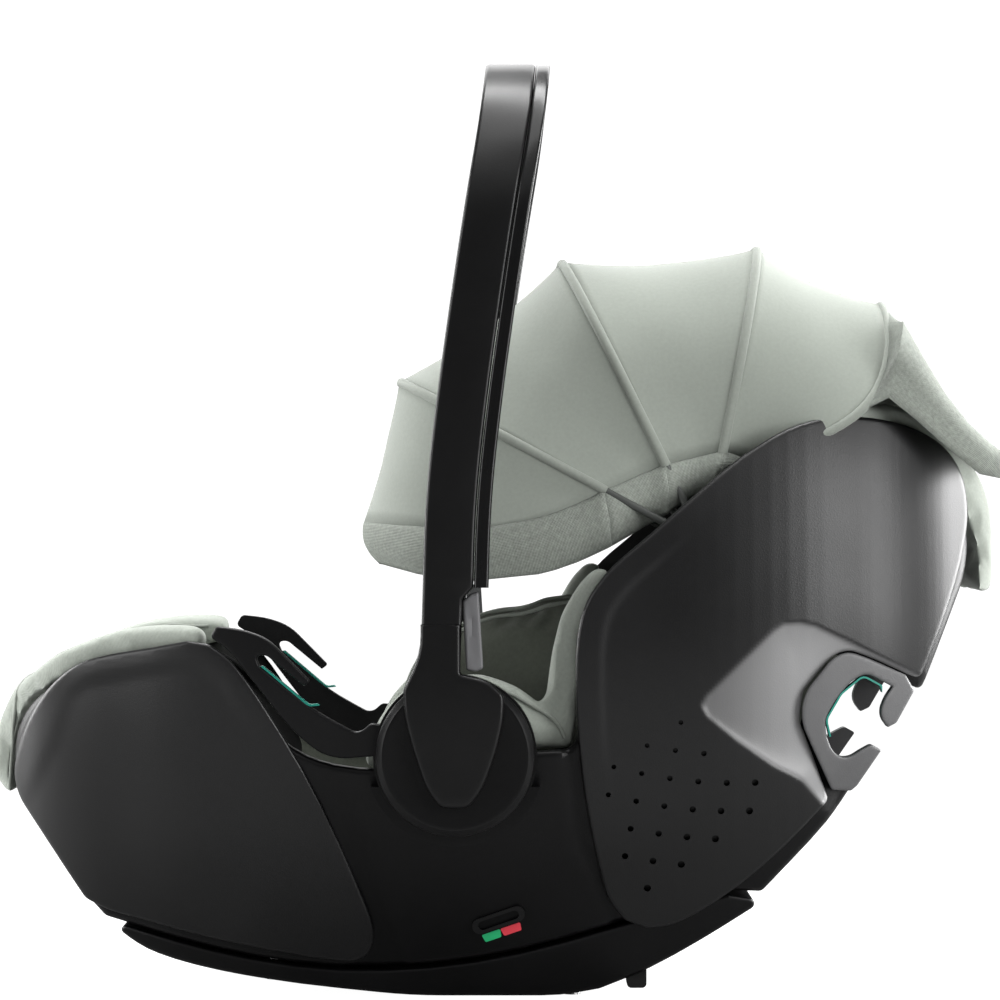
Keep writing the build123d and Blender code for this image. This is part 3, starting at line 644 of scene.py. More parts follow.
def backed(bm: bmesh.types.BMesh, inner: float) -> bmesh.types.BMesh:
    """Closes a panel with side walls and an inner skin at an inset of the envelope.

    Args:
        bm: The outer skin.
        inner: The inset of the inner skin.

    Returns:
        The same mesh, closed.
    """
    rim = rim_edges(bm)
    made = bmesh.ops.extrude_edge_only(bm, edges=rim)
    verts = [item for item in made["geom"] if isinstance(item, bmesh.types.BMVert)]
    for vert in verts:
        half = ENVELOPE.half(np.array([vert.co.x]), np.array([vert.co.z]), inner)[0]
        vert.co.y = -half
    inner_rim = [item for item in made["geom"] if isinstance(item, bmesh.types.BMEdge)]
    bmesh.ops.contextual_create(bm, geom=[e for e in inner_rim if len(e.link_faces) == 1])
    bmesh.ops.recalc_face_normals(bm, faces=bm.faces)
    return bm


def swept(rings: Sequence[Sequence[Vector]], cap: bool = True, loop: bool = True) -> bmesh.types.BMesh:
    """A surface through sections, by extruding the first along the rest.

    Args:
        rings: The sections, each with the same number of points.
        cap: Whether the ends are closed.
        loop: Whether each section closes on itself.

    Returns:
        The mesh.
    """
    bm = bmesh.new()
    verts = [bm.verts.new(point) for point in rings[0]]
    pairs = list(zip(verts, verts[1:] + verts[:1])) if loop else list(zip(verts, verts[1:]))
    edges = [bm.edges.new(pair) for pair in pairs]
    first = list(edges)
    for ring in rings[1:]:
        made = bmesh.ops.extrude_edge_only(bm, edges=edges)
        fresh = {item for item in made["geom"] if isinstance(item, bmesh.types.BMVert)}
        moved = []
        for vert, point in zip(verts, ring):
            twin = next(e.other_vert(vert) for e in vert.link_edges if e.other_vert(vert) in fresh)
            twin.co = point
            moved.append(twin)
        kept = {item for item in made["geom"] if isinstance(item, bmesh.types.BMEdge)}
        edges = [edge for edge in kept if edge.verts[0] in fresh and edge.verts[1] in fresh]
        verts = moved
    if cap and loop:
        bmesh.ops.contextual_create(bm, geom=first)
        bmesh.ops.contextual_create(bm, geom=edges)
    bmesh.ops.recalc_face_normals(bm, faces=bm.faces)
    return bm


def cut_out(thing: bpy.types.Object, tools: Sequence[bmesh.types.BMesh]) -> bpy.types.Object:
    """Cuts closed tool shapes, in millimetres, out of a closed piece."""
    joined = bmesh.new()
    for tool in tools:
        add_mesh(joined, tool)
    cutter = finish_mesh(joined, f"{thing.name}_cutter")
    change = thing.modifiers.new("cut", "BOOLEAN")
    change.operation = "DIFFERENCE"
    change.solver = "EXACT"
    change.object = cutter
    depsgraph = bpy.context.evaluated_depsgraph_get()
    mesh = bpy.data.meshes.new_from_object(thing.evaluated_get(depsgraph))
    thing.modifiers.clear()
    old = thing.data
    thing.data = mesh
    mesh.name = thing.name
    bpy.data.meshes.remove(old)
    bpy.data.objects.remove(cutter)
    bm = bmesh.new()
    bm.from_mesh(mesh)
    for face in bm.faces:
        face.smooth = True
    for edge in bm.edges:
        if len(edge.link_faces) == 2:
            edge.smooth = edge.calc_face_angle(0.0) < math.radians(38)
    bm.to_mesh(mesh)
    bm.free()
    return thing


def rod(centre: Point, radius: float, low: float, high: float, segments: int = 20) -> bmesh.types.BMesh:
    """A round bar along Y, in millimetres."""
    bm = bmesh.new()
    place_at = Matrix.Translation((centre[0], (low + high) / 2, centre[1])) @ Matrix.Rotation(math.pi / 2,
                                                                                              4, "X")
    bmesh.ops.create_cone(bm, cap_ends=True, segments=segments, radius1=radius, radius2=radius,
                          depth=high - low, matrix=place_at)
    return bm


# ---------------------------------------------------------------- hard shell, base and covers
@dataclass
class HardShell:
    """The seat shell, its rocking base, the side covers and what they carry."""

    foot_outline: list[Point] = field(default_factory=lambda: flowing(
        (-327, 140), (-316, 179), (-297, 207), (-275, 223.5), (-252, 229), (-226, 233), (-203, 237.5, 6),
        (-189, 235.5, 8), (-176, 227), (-163, 211), (-139, 174), (-116, 132), (-97, 87), (-85, 55),
        (-82.5, 41),
        (-87, 29, 9), (-97, 24.5, 8), (-113, 25.5), (-161, 34), (-206, 44), (-239, 52.5), (-259, 57),
        (-275, 65, 12), (-285, 80), (-305, 110)))
    head_outline: list[Point] = field(default_factory=lambda: flowing(
        (219, 384.5), (191, 378), (158, 359), (129, 334.5), (97, 306.5), (70, 284), (55, 263), (49.5, 240),
        (49, 213), (50, 174), (55, 135), (64, 90), (71, 66), (82, 53, 9), (97, 47.5, 10), (113, 49.5),
        (131, 58.5), (156, 75.5), (187, 102.5), (215, 133, 5), (204, 163), (195, 185, 9), (197.5, 204, 9),
        (216.5, 227.5), (227, 231.5), (240.5, 227), (266, 215.4), (275.5, 211.5, 5), (290, 243), (306, 288),
        (312, 322), (307.5, 348), (294, 366), (271, 378), (245, 383.5)))
    shell_outline: list[Point] = field(default_factory=lambda: flowing(
        (-262, 53, 8), (-288, 82), (-326, 145), (-318, 192), (-274, 218), (-207, 228), (-168, 200),
        (-132, 162),
        (-84, 152), (20, 166), (49, 167, 10), (55, 240), (92, 296), (160, 350), (219, 376), (270, 369),
        (302, 343), (314, 293), (277, 204, 4), (262, 211, 6), (240, 219, 10), (219, 206), (208, 184),
        (212, 162, 8), (234, 146, 4), (215, 118), (172, 72, 5), (150, 73, 6), (80, 52), (14, 32), (-45, 22),
        (-106, 20), (-165, 28), (-211, 39)))
    base_outline: list[Point] = field(default_factory=lambda: flowing(
        (-262, 50.6, 3), (-212, 36.6), (-165, 25.6), (-106, 17.1), (-45, 19.1), (14, 29.1), (80, 49.1),
        (150, 70, 3), (174, 66, 4), (134, 40), (99, 19), (66, 5, 12), (40, 0), (-49, 0), (-70, 1.2),
        (-132, 8),
        (-185, 17), (-215, 24), (-238, 32)))
    hook_outline: list[Point] = field(default_factory=lambda: flowing(
        (266, 214.4, 2), (240, 226), (227, 230.3), (217, 226.3), (198, 203), (196, 185), (206, 163),
        (217, 139.4, 3), (230, 138.6, 3), (234, 142, 3), (250, 165.2, 1.2), (243, 169, 3), (236, 165.5),
        (229, 161), (222, 161), (216.5, 166), (212.5, 176), (212, 186), (216, 194), (222, 203),
        (230, 211.5),
        (237, 215), (242, 214.6, 3), (257, 206.8, 0.6), (252, 200), (249, 192), (249.6, 186), (254, 180, 1),
        (260, 183, 4), (272, 204, 3)))
    lap_outline: list[Point] = field(default_factory=lambda: flowing(
        (-188, 240, 3), (-184, 247, 3), (-166, 245), (-150, 239), (-123, 211.5, 1.5), (-127, 208.5, 1),
        (-152, 229), (-158.5, 227.5, 2.5), (-156, 221.5, 3), (-124, 195), (-107, 185), (-92, 177),
        (-84, 184, 5), (-60, 181.5, 6), (-49, 176, 3), (-56, 163, 3), (-80, 163), (-111, 160), (-134, 178),
        (-162, 214), (-176, 232)))
    # The covers' edge radius, and the grid and depth of each.
    cover_round: float = 2.4
    head_grid: float = 1.8
    foot_grid: float = 3.5
    head_depth: float = 12.0
    foot_depth: float = 3.2
    # How far the shell's lip stands in, before and after lip_end along the seat.
    lip_end: float = 45.0
    lip_foot: float = 11.0
    lip_head: float = 2.0

    def head_relief(self, x: np.ndarray, z: np.ndarray, inside: np.ndarray) -> np.ndarray:
        """The head cover's raised front band and the scoop around its belt hook."""
        band = 1.5 * smooth(inside, 13, 21) * smooth(-x, -150, -95) * smooth(z, 120, 190)
        return band + self.scoop(x, z)

    def scoop(self, x: np.ndarray, z: np.ndarray) -> np.ndarray:
        """How deep the scoop around the belt hook lies, deeper towards the hook."""
        depth = self.scoop_depth(x, z)
        cap = 3.0 + 7.0 * smooth(x, 135, 225)
        return cap * (1 - np.exp(-depth * 0.75 / cap)) * smooth(depth, 0.0, 4.0)

    def scoop_depth(self, x: np.ndarray, z: np.ndarray) -> np.ndarray:
        """How far points lie inside the scoop's outline."""
        line = rounded(
            [(128.5, 196), (133, 203.5), (177, 246), (184, 250.5), (195, 251), (206, 248.5), (234, 235),
             (300, 203), (300, 150), (216, 122), (196, 145.5), (177, 155), (152.5, 172), (133, 187.5)],
            [4, 6, 6, 6, 8, 8, 10, 4, 4, 6, 10, 12, 12, 6])
        return np.clip(distance(x, z, line), 0, None)

    def satin(self, thing: bpy.types.Object) -> None:
        """Paints a highlight on the scoop round the belt hook, paler towards the hook, into the mesh's own
        attribute; the pale grey stands in for reflected light.
        """
        spots = np.empty(len(thing.data.vertices) * 3)
        thing.data.vertices.foreach_get("co", spots)
        x, _, z = spots.reshape(-1, 3).T / MM
        highlight_amount = smooth(self.scoop_depth(x, z), 0.0, 4.2) * (0.45 + 0.55 * smooth(x, 135, 215))
        layer = thing.data.attributes.new("Satin", "FLOAT", "POINT")
        layer.data.foreach_set("value", highlight_amount)

    def foot_relief(self, x: np.ndarray, z: np.ndarray, inside: np.ndarray) -> np.ndarray:
        """The foot cover's raised band along its upper edge."""
        inner = [(-293.5, 171), (-282.5, 203.2), (-271, 211), (-245, 216), (-213, 221.9), (-193.5, 220.6),
                 (-180.6, 212.9), (-171, 196.8), (-150, 165), (-118, 100), (-100, 55), (-120, 20),
                 (-330, 20), (-330, 100)]
        depth = distance(x, z, rounded(inner, 12))
        return 1.7 * smooth(depth, -4, 5) * smooth(z, 95, 160) * smooth(-x, 120, 190)

    def shell_relief(self, x: np.ndarray, z: np.ndarray, inside: np.ndarray) -> np.ndarray:
        """The shell's creased pillar between the two side covers."""
        left = distance(x, z, [(-100, 135), (-76, 60), (-64, 28)], closed=False)
        right = distance(x, z, [(44, 176), (54, 105), (80, 56)], closed=False)
        between = ((x - (-100 + (135 - z) * 0.34)) > 0) & ((x - (44 + (176 - z) * 0.24)) < 0)
        near = np.minimum(left, right)
        step = np.where(between, smooth(near, 0, 7), 0.0)
        return 2.6 * (1 - step) * smooth(x, -110, -90) * smooth(-x, -100, -80) + self.scoop(x, z) * 1.05

    def closed_body(self, line: list[Point], inset: float, edge: float, relief: Surface | None = None,
                    step: float = 5.0) -> bmesh.types.BMesh:
        """Both sides of a body that spans the seat, joined across by walls."""
        bm = panel(line, inset, relief, edge, step)
        twin = mirrored(bm)
        made = bmesh.ops.extrude_edge_only(bm, edges=rim_edges(bm))
        for item in made["geom"]:
            if isinstance(item, bmesh.types.BMVert):
                item.co.y = -item.co.y
        add_mesh(bm, twin)
        bmesh.ops.remove_doubles(bm, verts=bm.verts, dist=0.01)
        bmesh.ops.recalc_face_normals(bm, faces=bm.faces)
        return bm

    def build_shell(self) -> bpy.types.Object:
        """The shell: closed below and behind, open at its rim, with a lip turned inwards."""
        bm = self.closed_body(self.shell_outline, 3.3, 4.5, self.shell_relief)
        rim = [(-330, 188), (-318, 190), (-274, 216), (-207, 226), (-168, 199), (-132, 161), (-84, 151),
               (20, 165), (50, 165), (56, 240), (92, 295), (160, 349), (219, 375), (270, 368), (303, 343),
               (330, 340)]
        walls = [f for f in bm.faces if abs(f.calc_center_median().y) < 5 and f.calc_area() > 20]
        mids = [f.calc_center_median() for f in walls]
        near = np.abs(distance(np.array([m.x for m in mids]), np.array([m.z for m in mids]), rim,
                               closed=False))
        above = [m.z > (188 if m.x < -200 else 60) for m in mids]
        gone = [f for f, d, up in zip(walls, near, above) if d < 7 and up]
        bmesh.ops.delete(bm, geom=gone, context="FACES")
        for side in (-1, 1):
            edges = [e for e in rim_edges(bm) if e.verts[0].co.y * side > 0 and e.verts[1].co.y * side > 0]
            made = bmesh.ops.extrude_edge_only(bm, edges=edges)
            for item in made["geom"]:
                if isinstance(item, bmesh.types.BMVert):
                    item.co.y -= side * (self.lip_foot if item.co.x < self.lip_end else self.lip_head)
        bmesh.ops.recalc_face_normals(bm, faces=bm.faces)
        thing = finish_mesh(bm, "SeatShell")
        wall = thing.modifiers.new("wall", "SOLIDIFY")
        wall.thickness = 0.0028
        wall.offset = -1
        dress(thing, SHELL_BLACK)
        return place(thing, "carrier", "shell_black", ["seat_shell"])

    def build_base(self) -> bpy.types.Object:
        """The rocking base with its two latch wells."""
        bm = self.closed_body(self.base_outline, 3.4, 3.0)
        thing = finish_mesh(bm, "RockingBase")
        tools = []
        for x, top, half in ((-38, 15.0, 20.0), (92, 34.0, 17.0)):
            tool = bmesh.new()
            size = Matrix.Diagonal((2 * half, 124, top + 20, 1))
            bmesh.ops.create_cube(tool, size=1, matrix=Matrix.Translation((x, 0, top / 2 - 10)) @ size)
            bmesh.ops.bevel(tool, geom=tool.edges[:], offset=2.5, segments=3, profile=0.5, affect="EDGES",
                            material=-1)
            tools.append(tool)
        cut_out(thing, tools)
        dress(thing, SHELL_BLACK)
        return place(thing, "carrier", "shell_black", ["base_skid"])

    def holes(self) -> list[bmesh.types.BMesh]:
        """The head cover's vent holes: rows on arcs about the head end, growing towards the back."""
        tools = []
        rows = ((-2, -3, -3), (-1, -4, -2), (0, -5, 0), (1, -5, 0), (2, -4, -1), (3, -4, -2), (4, -3, -3))
        for row, first, last in rows:
            reach = 313.0 + 18.6 * row
            for n in range(first, last + 1):
                angle = (18.6 * n + 11 - 3.5 * row) / reach
                spot = (155 + reach * math.sin(angle), 458 - reach * math.cos(angle))
                tools.append(rod(spot, 1.45 + 0.13 * (row + n + 6), -215, -100, 18))
        return tools

    def build_covers(self) -> list[bpy.types.Object]:
        """The four side covers."""
        made = []
        plans = (
            ("HeadSideCover", "head_side_cover", self.head_outline, self.head_relief,
             self.head_grid, self.head_depth),
            ("FootSideCover", "foot_side_cover", self.foot_outline, self.foot_relief,
             self.foot_grid, self.foot_depth),
        )
        for name, node, line, relief, grid, depth in plans:
            for side in Side:
                bm = panel(line, 0.0, relief, self.cover_round, grid)
                backed(bm, depth)
                thing = finish_mesh(bm, f"{name}.{side.word}")
                if node.startswith("head"):
                    cut_out(thing, self.holes())
                    # Paints the highlight round the belt hook's scoop into the cover's attribute.
                    self.satin(thing)
                if side is Side.RIGHT:
                    twin = bmesh.new()
                    twin.from_mesh(thing.data)
                    bmesh.ops.scale(twin, vec=(1, -1, 1), verts=twin.verts)
                    bmesh.ops.reverse_faces(twin, faces=twin.faces)
                    twin.to_mesh(thing.data)
                    twin.free()
                dress(thing, COVER_BLACK)
                made.append(place(thing, "carrier", "cover_black", [f"{node}_{side.word}"]))
        return made

    def build_guides(self) -> list[bpy.types.Object]:
        """The belt hooks on both sides."""
        made = []
        plans = (
            # The shoulder hook is painted pale grey as a highlight.
            ("ShoulderBeltGuide", "shoulder_belt_guide", self.hook_outline, 0.9, 20.0, 1.6, "cover_black",
             HOOK_PAINTED_HIGHLIGHT),
            ("LapBeltGuide", "lap_belt_guide", self.lap_outline, 0.4, 14.0, 1.4, "shell_black",
             SHELL_BLACK),
        )
        for name, node, line, inset, deep, edge, slot, finish in plans:
            for side in Side:
                bm = panel(line, inset, None, edge, 2.5)
                backed(bm, deep)
                if side is Side.RIGHT:
                    twin = mirrored(bm)
                    bm.free()
                    bm = twin
                thing = dress(finish_mesh(bm, f"{name}.{side.word}"), finish)
                made.append(place(thing, "carrier", slot, [f"{node}_{side.word}"]))
        return made

    def build(self) -> list[bpy.types.Object]:
        """Every piece of the hard shell."""
        return [self.build_shell(), self.build_base(), *self.build_covers(), *self.build_guides()]


# ---------------------------------------------------------------- handle, hubs and level indicators
@dataclass
class Handle:
    """The turning handle: a hoop with a trim strip, its release triggers and its hubs."""

    centre_line: tuple[Point, ...] = (
        (-31, 200), (-29.5, 240), (-27, 329), (-20, 393), (-11, 457.5), (-1.3, 522), (9.5, 586), (14, 640))
    hub: Point = (-29.0, 163.0)
    outer_half: float = 220.0
    inner_half: float = 201.5
    top: float = 620.0
    arch: float = 8.0
    bar: float = 26.0
    corner: float = 112.0
    depth: float = 42.5
    trim_depth: float = 9.5
    trim_low: float = 272.5
    disc_radius: float = 51.5
    shield_top: float = 248.8
    shield_outline: list[Point] = field(default_factory=lambda: flowing(
        (-51.2, 248.8, 0), (-51.2, 236), (-54, 224), (-62.5, 206.5, 9), (-61.5, 190), (-56, 168),
        (-47, 142),
        (-38, 130.5, 9), (-21, 130.5, 9), (-11.5, 142), (-2, 168), (2.5, 190), (2.5, 203, 7), (-7, 212.5),
        (-25.5, 217, 2), (-25.5, 248.8, 0)))

    def middle(self, z: float) -> float:
        """The arm's middle in x at a height."""
        heights = [point[1] for point in self.centre_line]
        places = [point[0] for point in self.centre_line]
        spots = np.array([z - 26, z - 13, z, z + 13, z + 26])
        return float(np.mean(np.interp(spots, heights, places)))

    def hoop(self, low: float) -> list[tuple[Vector, Vector]]:
        """Stations round the hoop, from the left arm's foot to the right arm's.

        Args:
            low: The height at which both arms start.

        Returns:
            For each station its outer and its inner point, on the plane x = 0.
        """
        lines = []
        for half, top, corner in ((self.outer_half, self.top, self.corner),
                                  (self.inner_half, self.top - self.bar, self.corner - 22)):
            heights = list(np.linspace(low, top - self.arch - corner - 2, 40))
            if low < self.shield_top:
                heights = sorted([*heights, self.shield_top - 0.1, self.shield_top + 0.1])
            side = [(-half, z) for z in heights]
            bend = rounded([(-half, low), (-half, top - self.arch), (0, top + 3)], [0, corner, 0], False,
                           5.0)
            bend = bend[1:-1]
            arc = [bend[round(i * (len(bend) - 1) / 16)] for i in range(17)]
            start = arc[-1]
            bar = [(start[0] * (1 - t), top - (top - start[1]) * (1 - t) ** 2)
                   for t in np.linspace(0.08, 1, 14)]
            half_line = side + arc + bar
            lines.append(half_line + [(-y, z) for y, z in half_line[-2::-1]])
        return [(Vector((0, *a)), Vector((0, *b))) for a, b in zip(*lines)]

    def section(self, outer: Vector, inner: Vector, front: float, rear: float, edge: float) -> list[Vector]:
        """A rounded four-sided section between an outer and an inner point.

        Args:
            outer: The middle of the outer face.
            inner: The middle of the inner face.
            front: The x offset of the front edge.
            rear: The x offset of the rear edge.
            edge: The radius of the long edges.

        Returns:
            The section's points.
        """
        across = inner - outer
        thick = across.length
        across.normalize()
        shape = rounded([(front, 0), (rear, 0), (rear, thick), (front, thick)], edge, arc_step=30)
        points = []
        for x, deep in shape:
            spot = outer + across * deep
            points.append(Vector((self.middle(spot.z) + x, spot.y, spot.z)))
        return points

    def build_frame(self) -> bpy.types.Object:
        """The hoop without its trim strip, cut away beside the triggers and below the shields."""
        rings = []
        for outer, inner in self.hoop(206.0):
            outer = outer.copy()
            if outer.z < self.shield_top:
                outer.y = math.copysign(211.4, outer.y)
            seam = self.depth / 2 - self.trim_depth - 0.35
            rear = float(np.interp(outer.z, (269, 273), (4.6, seam)))
            rings.append(self.section(outer, inner, -self.depth / 2, rear, 2.4))
        thing = finish_mesh(swept(rings), "HandleFrame")
        dress(thing, HANDLE_BLACK)
        return place(thing, "handle", "handle_black", ["handle_frame"])

    def build_trim(self) -> bpy.types.Object:
        """The trim strip along the hoop's rear edge."""
        rings = []
        for outer, inner in self.hoop(self.trim_low):
            rings.append(self.section(outer, inner, self.depth / 2 - self.trim_depth, self.depth / 2, 2.0))
        thing = dress(finish_mesh(swept(rings), "HandleTrim"), TRIM_BLACK)
        return place(thing, "handle", "trim_black", ["handle_trim"])

    def build_shield(self, side: Side) -> bpy.types.Object:
        """The shield-shaped cover that runs from an arm down over its hub."""
        line = self.shield_outline
        bm = sheet_of(line, 6.0, ring_widths(3.2))

        def surface(x: np.ndarray, z: np.ndarray, inside: np.ndarray) -> np.ndarray:
            """Flat at the arm, falling a little towards the foot, with no rounding at the joint."""
            fall = 2.4 * smooth(-z, -215, -135)
            return -self.outer_half + fall + roll(distance(x, z, line, closed=False), 2.6)

        drape(bm, line, surface)
        made = bmesh.ops.extrude_edge_only(bm, edges=rim_edges(bm))
        for item in made["geom"]:
            if isinstance(item, bmesh.types.BMVert):
                item.co.y = -211.2
        bmesh.ops.contextual_create(bm, geom=[e for e in rim_edges(bm)])
        bmesh.ops.recalc_face_normals(bm, faces=bm.faces)
        if side is Side.RIGHT:
            bm = mirrored(bm)
        thing = dress(finish_mesh(bm, f"HubShield.{side.word}"), HANDLE_BLACK)
        return place(thing, "handle", "handle_black", [f"hub_cover_{side.word}"])

    def build_disc(self, side: Side) -> bpy.types.Object:
        """A hub: a disc with a chamfered rim and its shaft."""
        r = self.disc_radius
        profile = [
            (0, -210.6), (20, -210.6), (44.6, -210.6), (46.2, -210.9), (47.4, -210.7), (50.2, -208.4),
            (51.2, -206.9),
            (r, -205), (r, -201.7), (8, -201.7), (8, -176), (0, -176)]
        bm = bmesh.new()
        verts = [bm.verts.new((self.hub[0] + radius, y, self.hub[1])) for radius, y in profile]
        edges = [bm.edges.new(pair) for pair in zip(verts, verts[1:])]
        bmesh.ops.spin(bm, geom=verts + edges, cent=(self.hub[0], 0, self.hub[1]), axis=(0, 1, 0),
                       angle=math.tau, steps=96, use_merge=True)
        bmesh.ops.remove_doubles(bm, verts=bm.verts, dist=0.001)
        bmesh.ops.recalc_face_normals(bm, faces=bm.faces)
        if side is Side.RIGHT:
            bm = mirrored(bm)
        thing = dress(finish_mesh(bm, f"HubDisc.{side.word}", 24), HUB_BLACK)
        return place(thing, "handle", "handle_black", [f"hub_disc_{side.word}"])

    def build_trigger(self, side: Side) -> bpy.types.Object:
        """A release trigger in its arm's notch, with a hollow for the fingertip."""
        corners = [(-21.8, 219.6), (-15.5, 218.4), (-10.8, 220.5), (-13.8, 270.4), (-19.0, 268.3),
                   (-24.3, 263.5)]
        line = rounded(corners, [2, 3, 2, 1.5, 2, 2])
        bm = sheet_of(line, 3.0, ring_widths(2.4))

        def surface(x: np.ndarray, z: np.ndarray, inside: np.ndarray) -> np.ndarray:
            """A shallow hollow along the middle."""
            hollow = 1.6 * smooth(inside, 1.5, 6.5) * smooth(z, 219, 230) * smooth(-z, -266, -252)
            return -216.0 + roll(inside, 1.8) + hollow

        drape(bm, line, surface)
        made = bmesh.ops.extrude_edge_only(bm, edges=rim_edges(bm))
        for item in made["geom"]:
            if isinstance(item, bmesh.types.BMVert):
                item.co.y = -203.6
        bmesh.ops.contextual_create(bm, geom=rim_edges(bm))
        bmesh.ops.recalc_face_normals(bm, faces=bm.faces)
        if side is Side.RIGHT:
            bm = mirrored(bm)
        thing = dress(finish_mesh(bm, f"ReleaseTrigger.{side.word}"), TRIGGER_GREY)
        return place(thing, f"release_button_{side.word}", "trigger_grey", [f"release_button_{side.word}"])

    def build(self) -> list[bpy.types.Object]:
        """Every piece of the handle."""
        made = [self.build_frame(), self.build_trim()]
        for side in Side:
            made += [self.build_shield(side), self.build_disc(side), self.build_trigger(side)]
        return made


# ---------------------------------------------------------------- hood
@dataclass(frozen=True)
class Bow:
    """One bow of the hood, by its angle above +X about the pivot, its reach and its half width."""

    name: str
    angle: float
    reach: float
    half: float
    body: str


@dataclass
class Hood:
    """The folding hood: cloth sectors between bows, a brim, a twill band and a rear flap."""

    pivot: Point = (134.0, 300.0)
    bows: tuple[Bow, ...] = (
        Bow("fixed", 52.6, 200.0, 152.0, "carrier"),
        Bow("rear", 79.1, 199.5, 162.0, "bow_rear"),
        Bow("middle", 116.4, 208.5, 167.0, "bow_middle"),
        Bow("front", 151.8, 227.0, 172.0, "bow_front"),
    )
    brim_angle: float = 176.4
    corner: float = 92.0
    over: float = 1.2
    hem: tuple[Point, ...] = ((52.6, 63), (66.6, 64), (80.4, 62), (117.1, 58), (152.3, 74), (164, 91),
                              (171.4, 109), (176.4, 153))
    across: int = 30
    sag: float = 6.0

    def curve(self, bow: Bow, low: float, grow: float) -> list[Vector]:
        """A bow's line from its left hem to its right one.

        Args:
            bow: The bow.
            low: How far out of the pivot the line starts.
            grow: How far outside the bow's middle it runs.

        Returns:
            Evenly spaced points, 2 * across + 1 of them.
        """
        reach, half = bow.reach + grow, bow.half + grow
        upright = reach - self.corner
        turn = self.corner * math.pi / 2
        total = upright + turn + half - self.corner
        start = low if low < upright else upright + self.corner * math.asin(min(1.0,
                                                                                (low
                                                                                 - upright) / self.corner))
        left = []
        for i in range(self.across + 1):
            s = start + (total - start) * i / self.across
            if s < upright:
                left.append((s, -half))
            elif s < upright + turn:
                angle = (s - upright) / self.corner
                left.append((upright + self.corner * math.sin(angle),
                             -half + self.corner * (1 - math.cos(angle))))
            else:
                left.append((reach, -half + self.corner + s - upright - turn))
        whole = left + [(r, -y) for r, y in left[-2::-1]]
        x0, z0 = self.pivot
        points = []
        for r, y in whole:
            bend = math.sin(math.pi * min(1.0, max(0.0, (200 - r) / 136))) if bow.name == "fixed" else 0.0
            angle = math.radians(bow.angle - 12.0 * bend)
            spread = math.copysign(4.5 * bend, y) if abs(y) > 60 else 0.0
            points.append(Vector((x0 + r * math.cos(angle), y + spread, z0 + r * math.sin(angle))))
        return points

    def low(self, angle: float) -> float:
        """How far the hem lies from the pivot at an angle."""
        near = angle + np.linspace(-7, 7, 9) * min(1.0, max(0.0, (self.brim_angle - angle) / 12))
        return float(np.mean(np.interp(near, [a for a, _ in self.hem], [r for _, r in self.hem])))

    def sector(self, first: Bow, second: Bow, steps: int, sag: float) -> list[list[Vector]]:
        """Cloth drawn tight between two bows, sagging inwards between them.

        Args:
            first: The bow at the start.
            second: The bow at the end.
            steps: The rings between them.
            sag: The most it sags.

        Returns:
            One ring of points for each step.
        """
        rings = []
        for k in range(steps + 1):
            t = k / steps
            low = self.low(first.angle + (second.angle - first.angle) * t)
            a = self.curve(first, low, self.over)
            b = self.curve(second, low, self.over)
            ring = []
            for i, (p, q) in enumerate(zip(a, b)):
                spot = p.lerp(q, t)
                u = abs(i / self.across - 1)
                out = Vector((spot.x - self.pivot[0], 0, spot.z - self.pivot[1])).normalized()
                side = Vector((0, math.copysign(1, spot.y), 0))
                share = min(1.0, max(0.0, (1 - u - 0.18) / 0.5))
                normal = (side * (1 - share) + out * share).normalized()
                dip = sag * math.sin(math.pi * t) ** 0.8 * (1 if share > 0.5 else 0.75 + 0.5 * share)
                fold = 0.5 * math.sin(9 * t + 5 * u) * math.sin(math.pi * t) * math.sin(2.5 * math.pi * u)
                ring.append(spot - normal * (dip + fold))
            rings.append(ring)
        return rings

    def sheet(self, name: str, rings: list[list[Vector]], finish: Cloth, bodies: tuple[str, ...],
              nodes: Sequence[str],
              ends: tuple[Bow, Bow] | None = None) -> bpy.types.Object:
        """Args:
            name: The piece's name.
            rings: The rings.
            finish: Its cloth.
            bodies: The body it rides on, read only when ends are not given.
            nodes: The CAD nodes it stands for.
            ends: The bows at its two ends; when given, the piece is baked in place and rides on no body.

        Returns:
            The piece.
        """
        bm = swept(rings, cap=False, loop=False)
        middle = rings[len(rings) // 2][len(rings[0]) // 2]
        bm.normal_update()
        nearest = min(bm.faces, key=lambda f: (f.calc_center_median() - middle).length)
        outward = Vector((middle.x - self.pivot[0], 0, middle.z - self.pivot[1]))
        if nearest.normal.dot(outward) < 0:
            bmesh.ops.reverse_faces(bm, faces=bm.faces)
        self.map_cloth(bm, rings)
        area = sum(face.calc_area() for face in bm.faces) * MM * MM
        thing = dress(finish_mesh(bm, name, 80), finish)
        cloth = thing.modifiers.new("cloth", "SOLIDIFY")
        cloth.thickness = 0.0014
        cloth.offset = -1
        if nodes:
            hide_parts(*nodes)
        if ends is None:
            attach(thing, bodies[0])
        else:
            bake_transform(thing)
        return thing

    def map_cloth(self, bm: bmesh.types.BMesh, rings: list[list[Vector]]) -> None:
        """Lays a sheet's UV map out in metres along its rings and across them."""
        table = {}
        before = None
        for ring in rings:
            u = 0.0
            row = []
            for i, spot in enumerate(ring):
                u += (spot - ring[i - 1]).length if i else 0.0
                row.append([u, (before[i][1] + (spot - before[i][2]).length) if before else 0.0, spot])
            for at, v, spot in row:
                table[tuple(round(c, 2) for c in spot)] = ((at - u / 2) * MM, v * MM)
            before = row
        layer = bm.loops.layers.uv.new("Weave")
        for face in bm.faces:
            for loop in face.loops:
                loop[layer].uv = table.get(tuple(round(c, 2) for c in loop.vert.co), (0.0, 0.0))

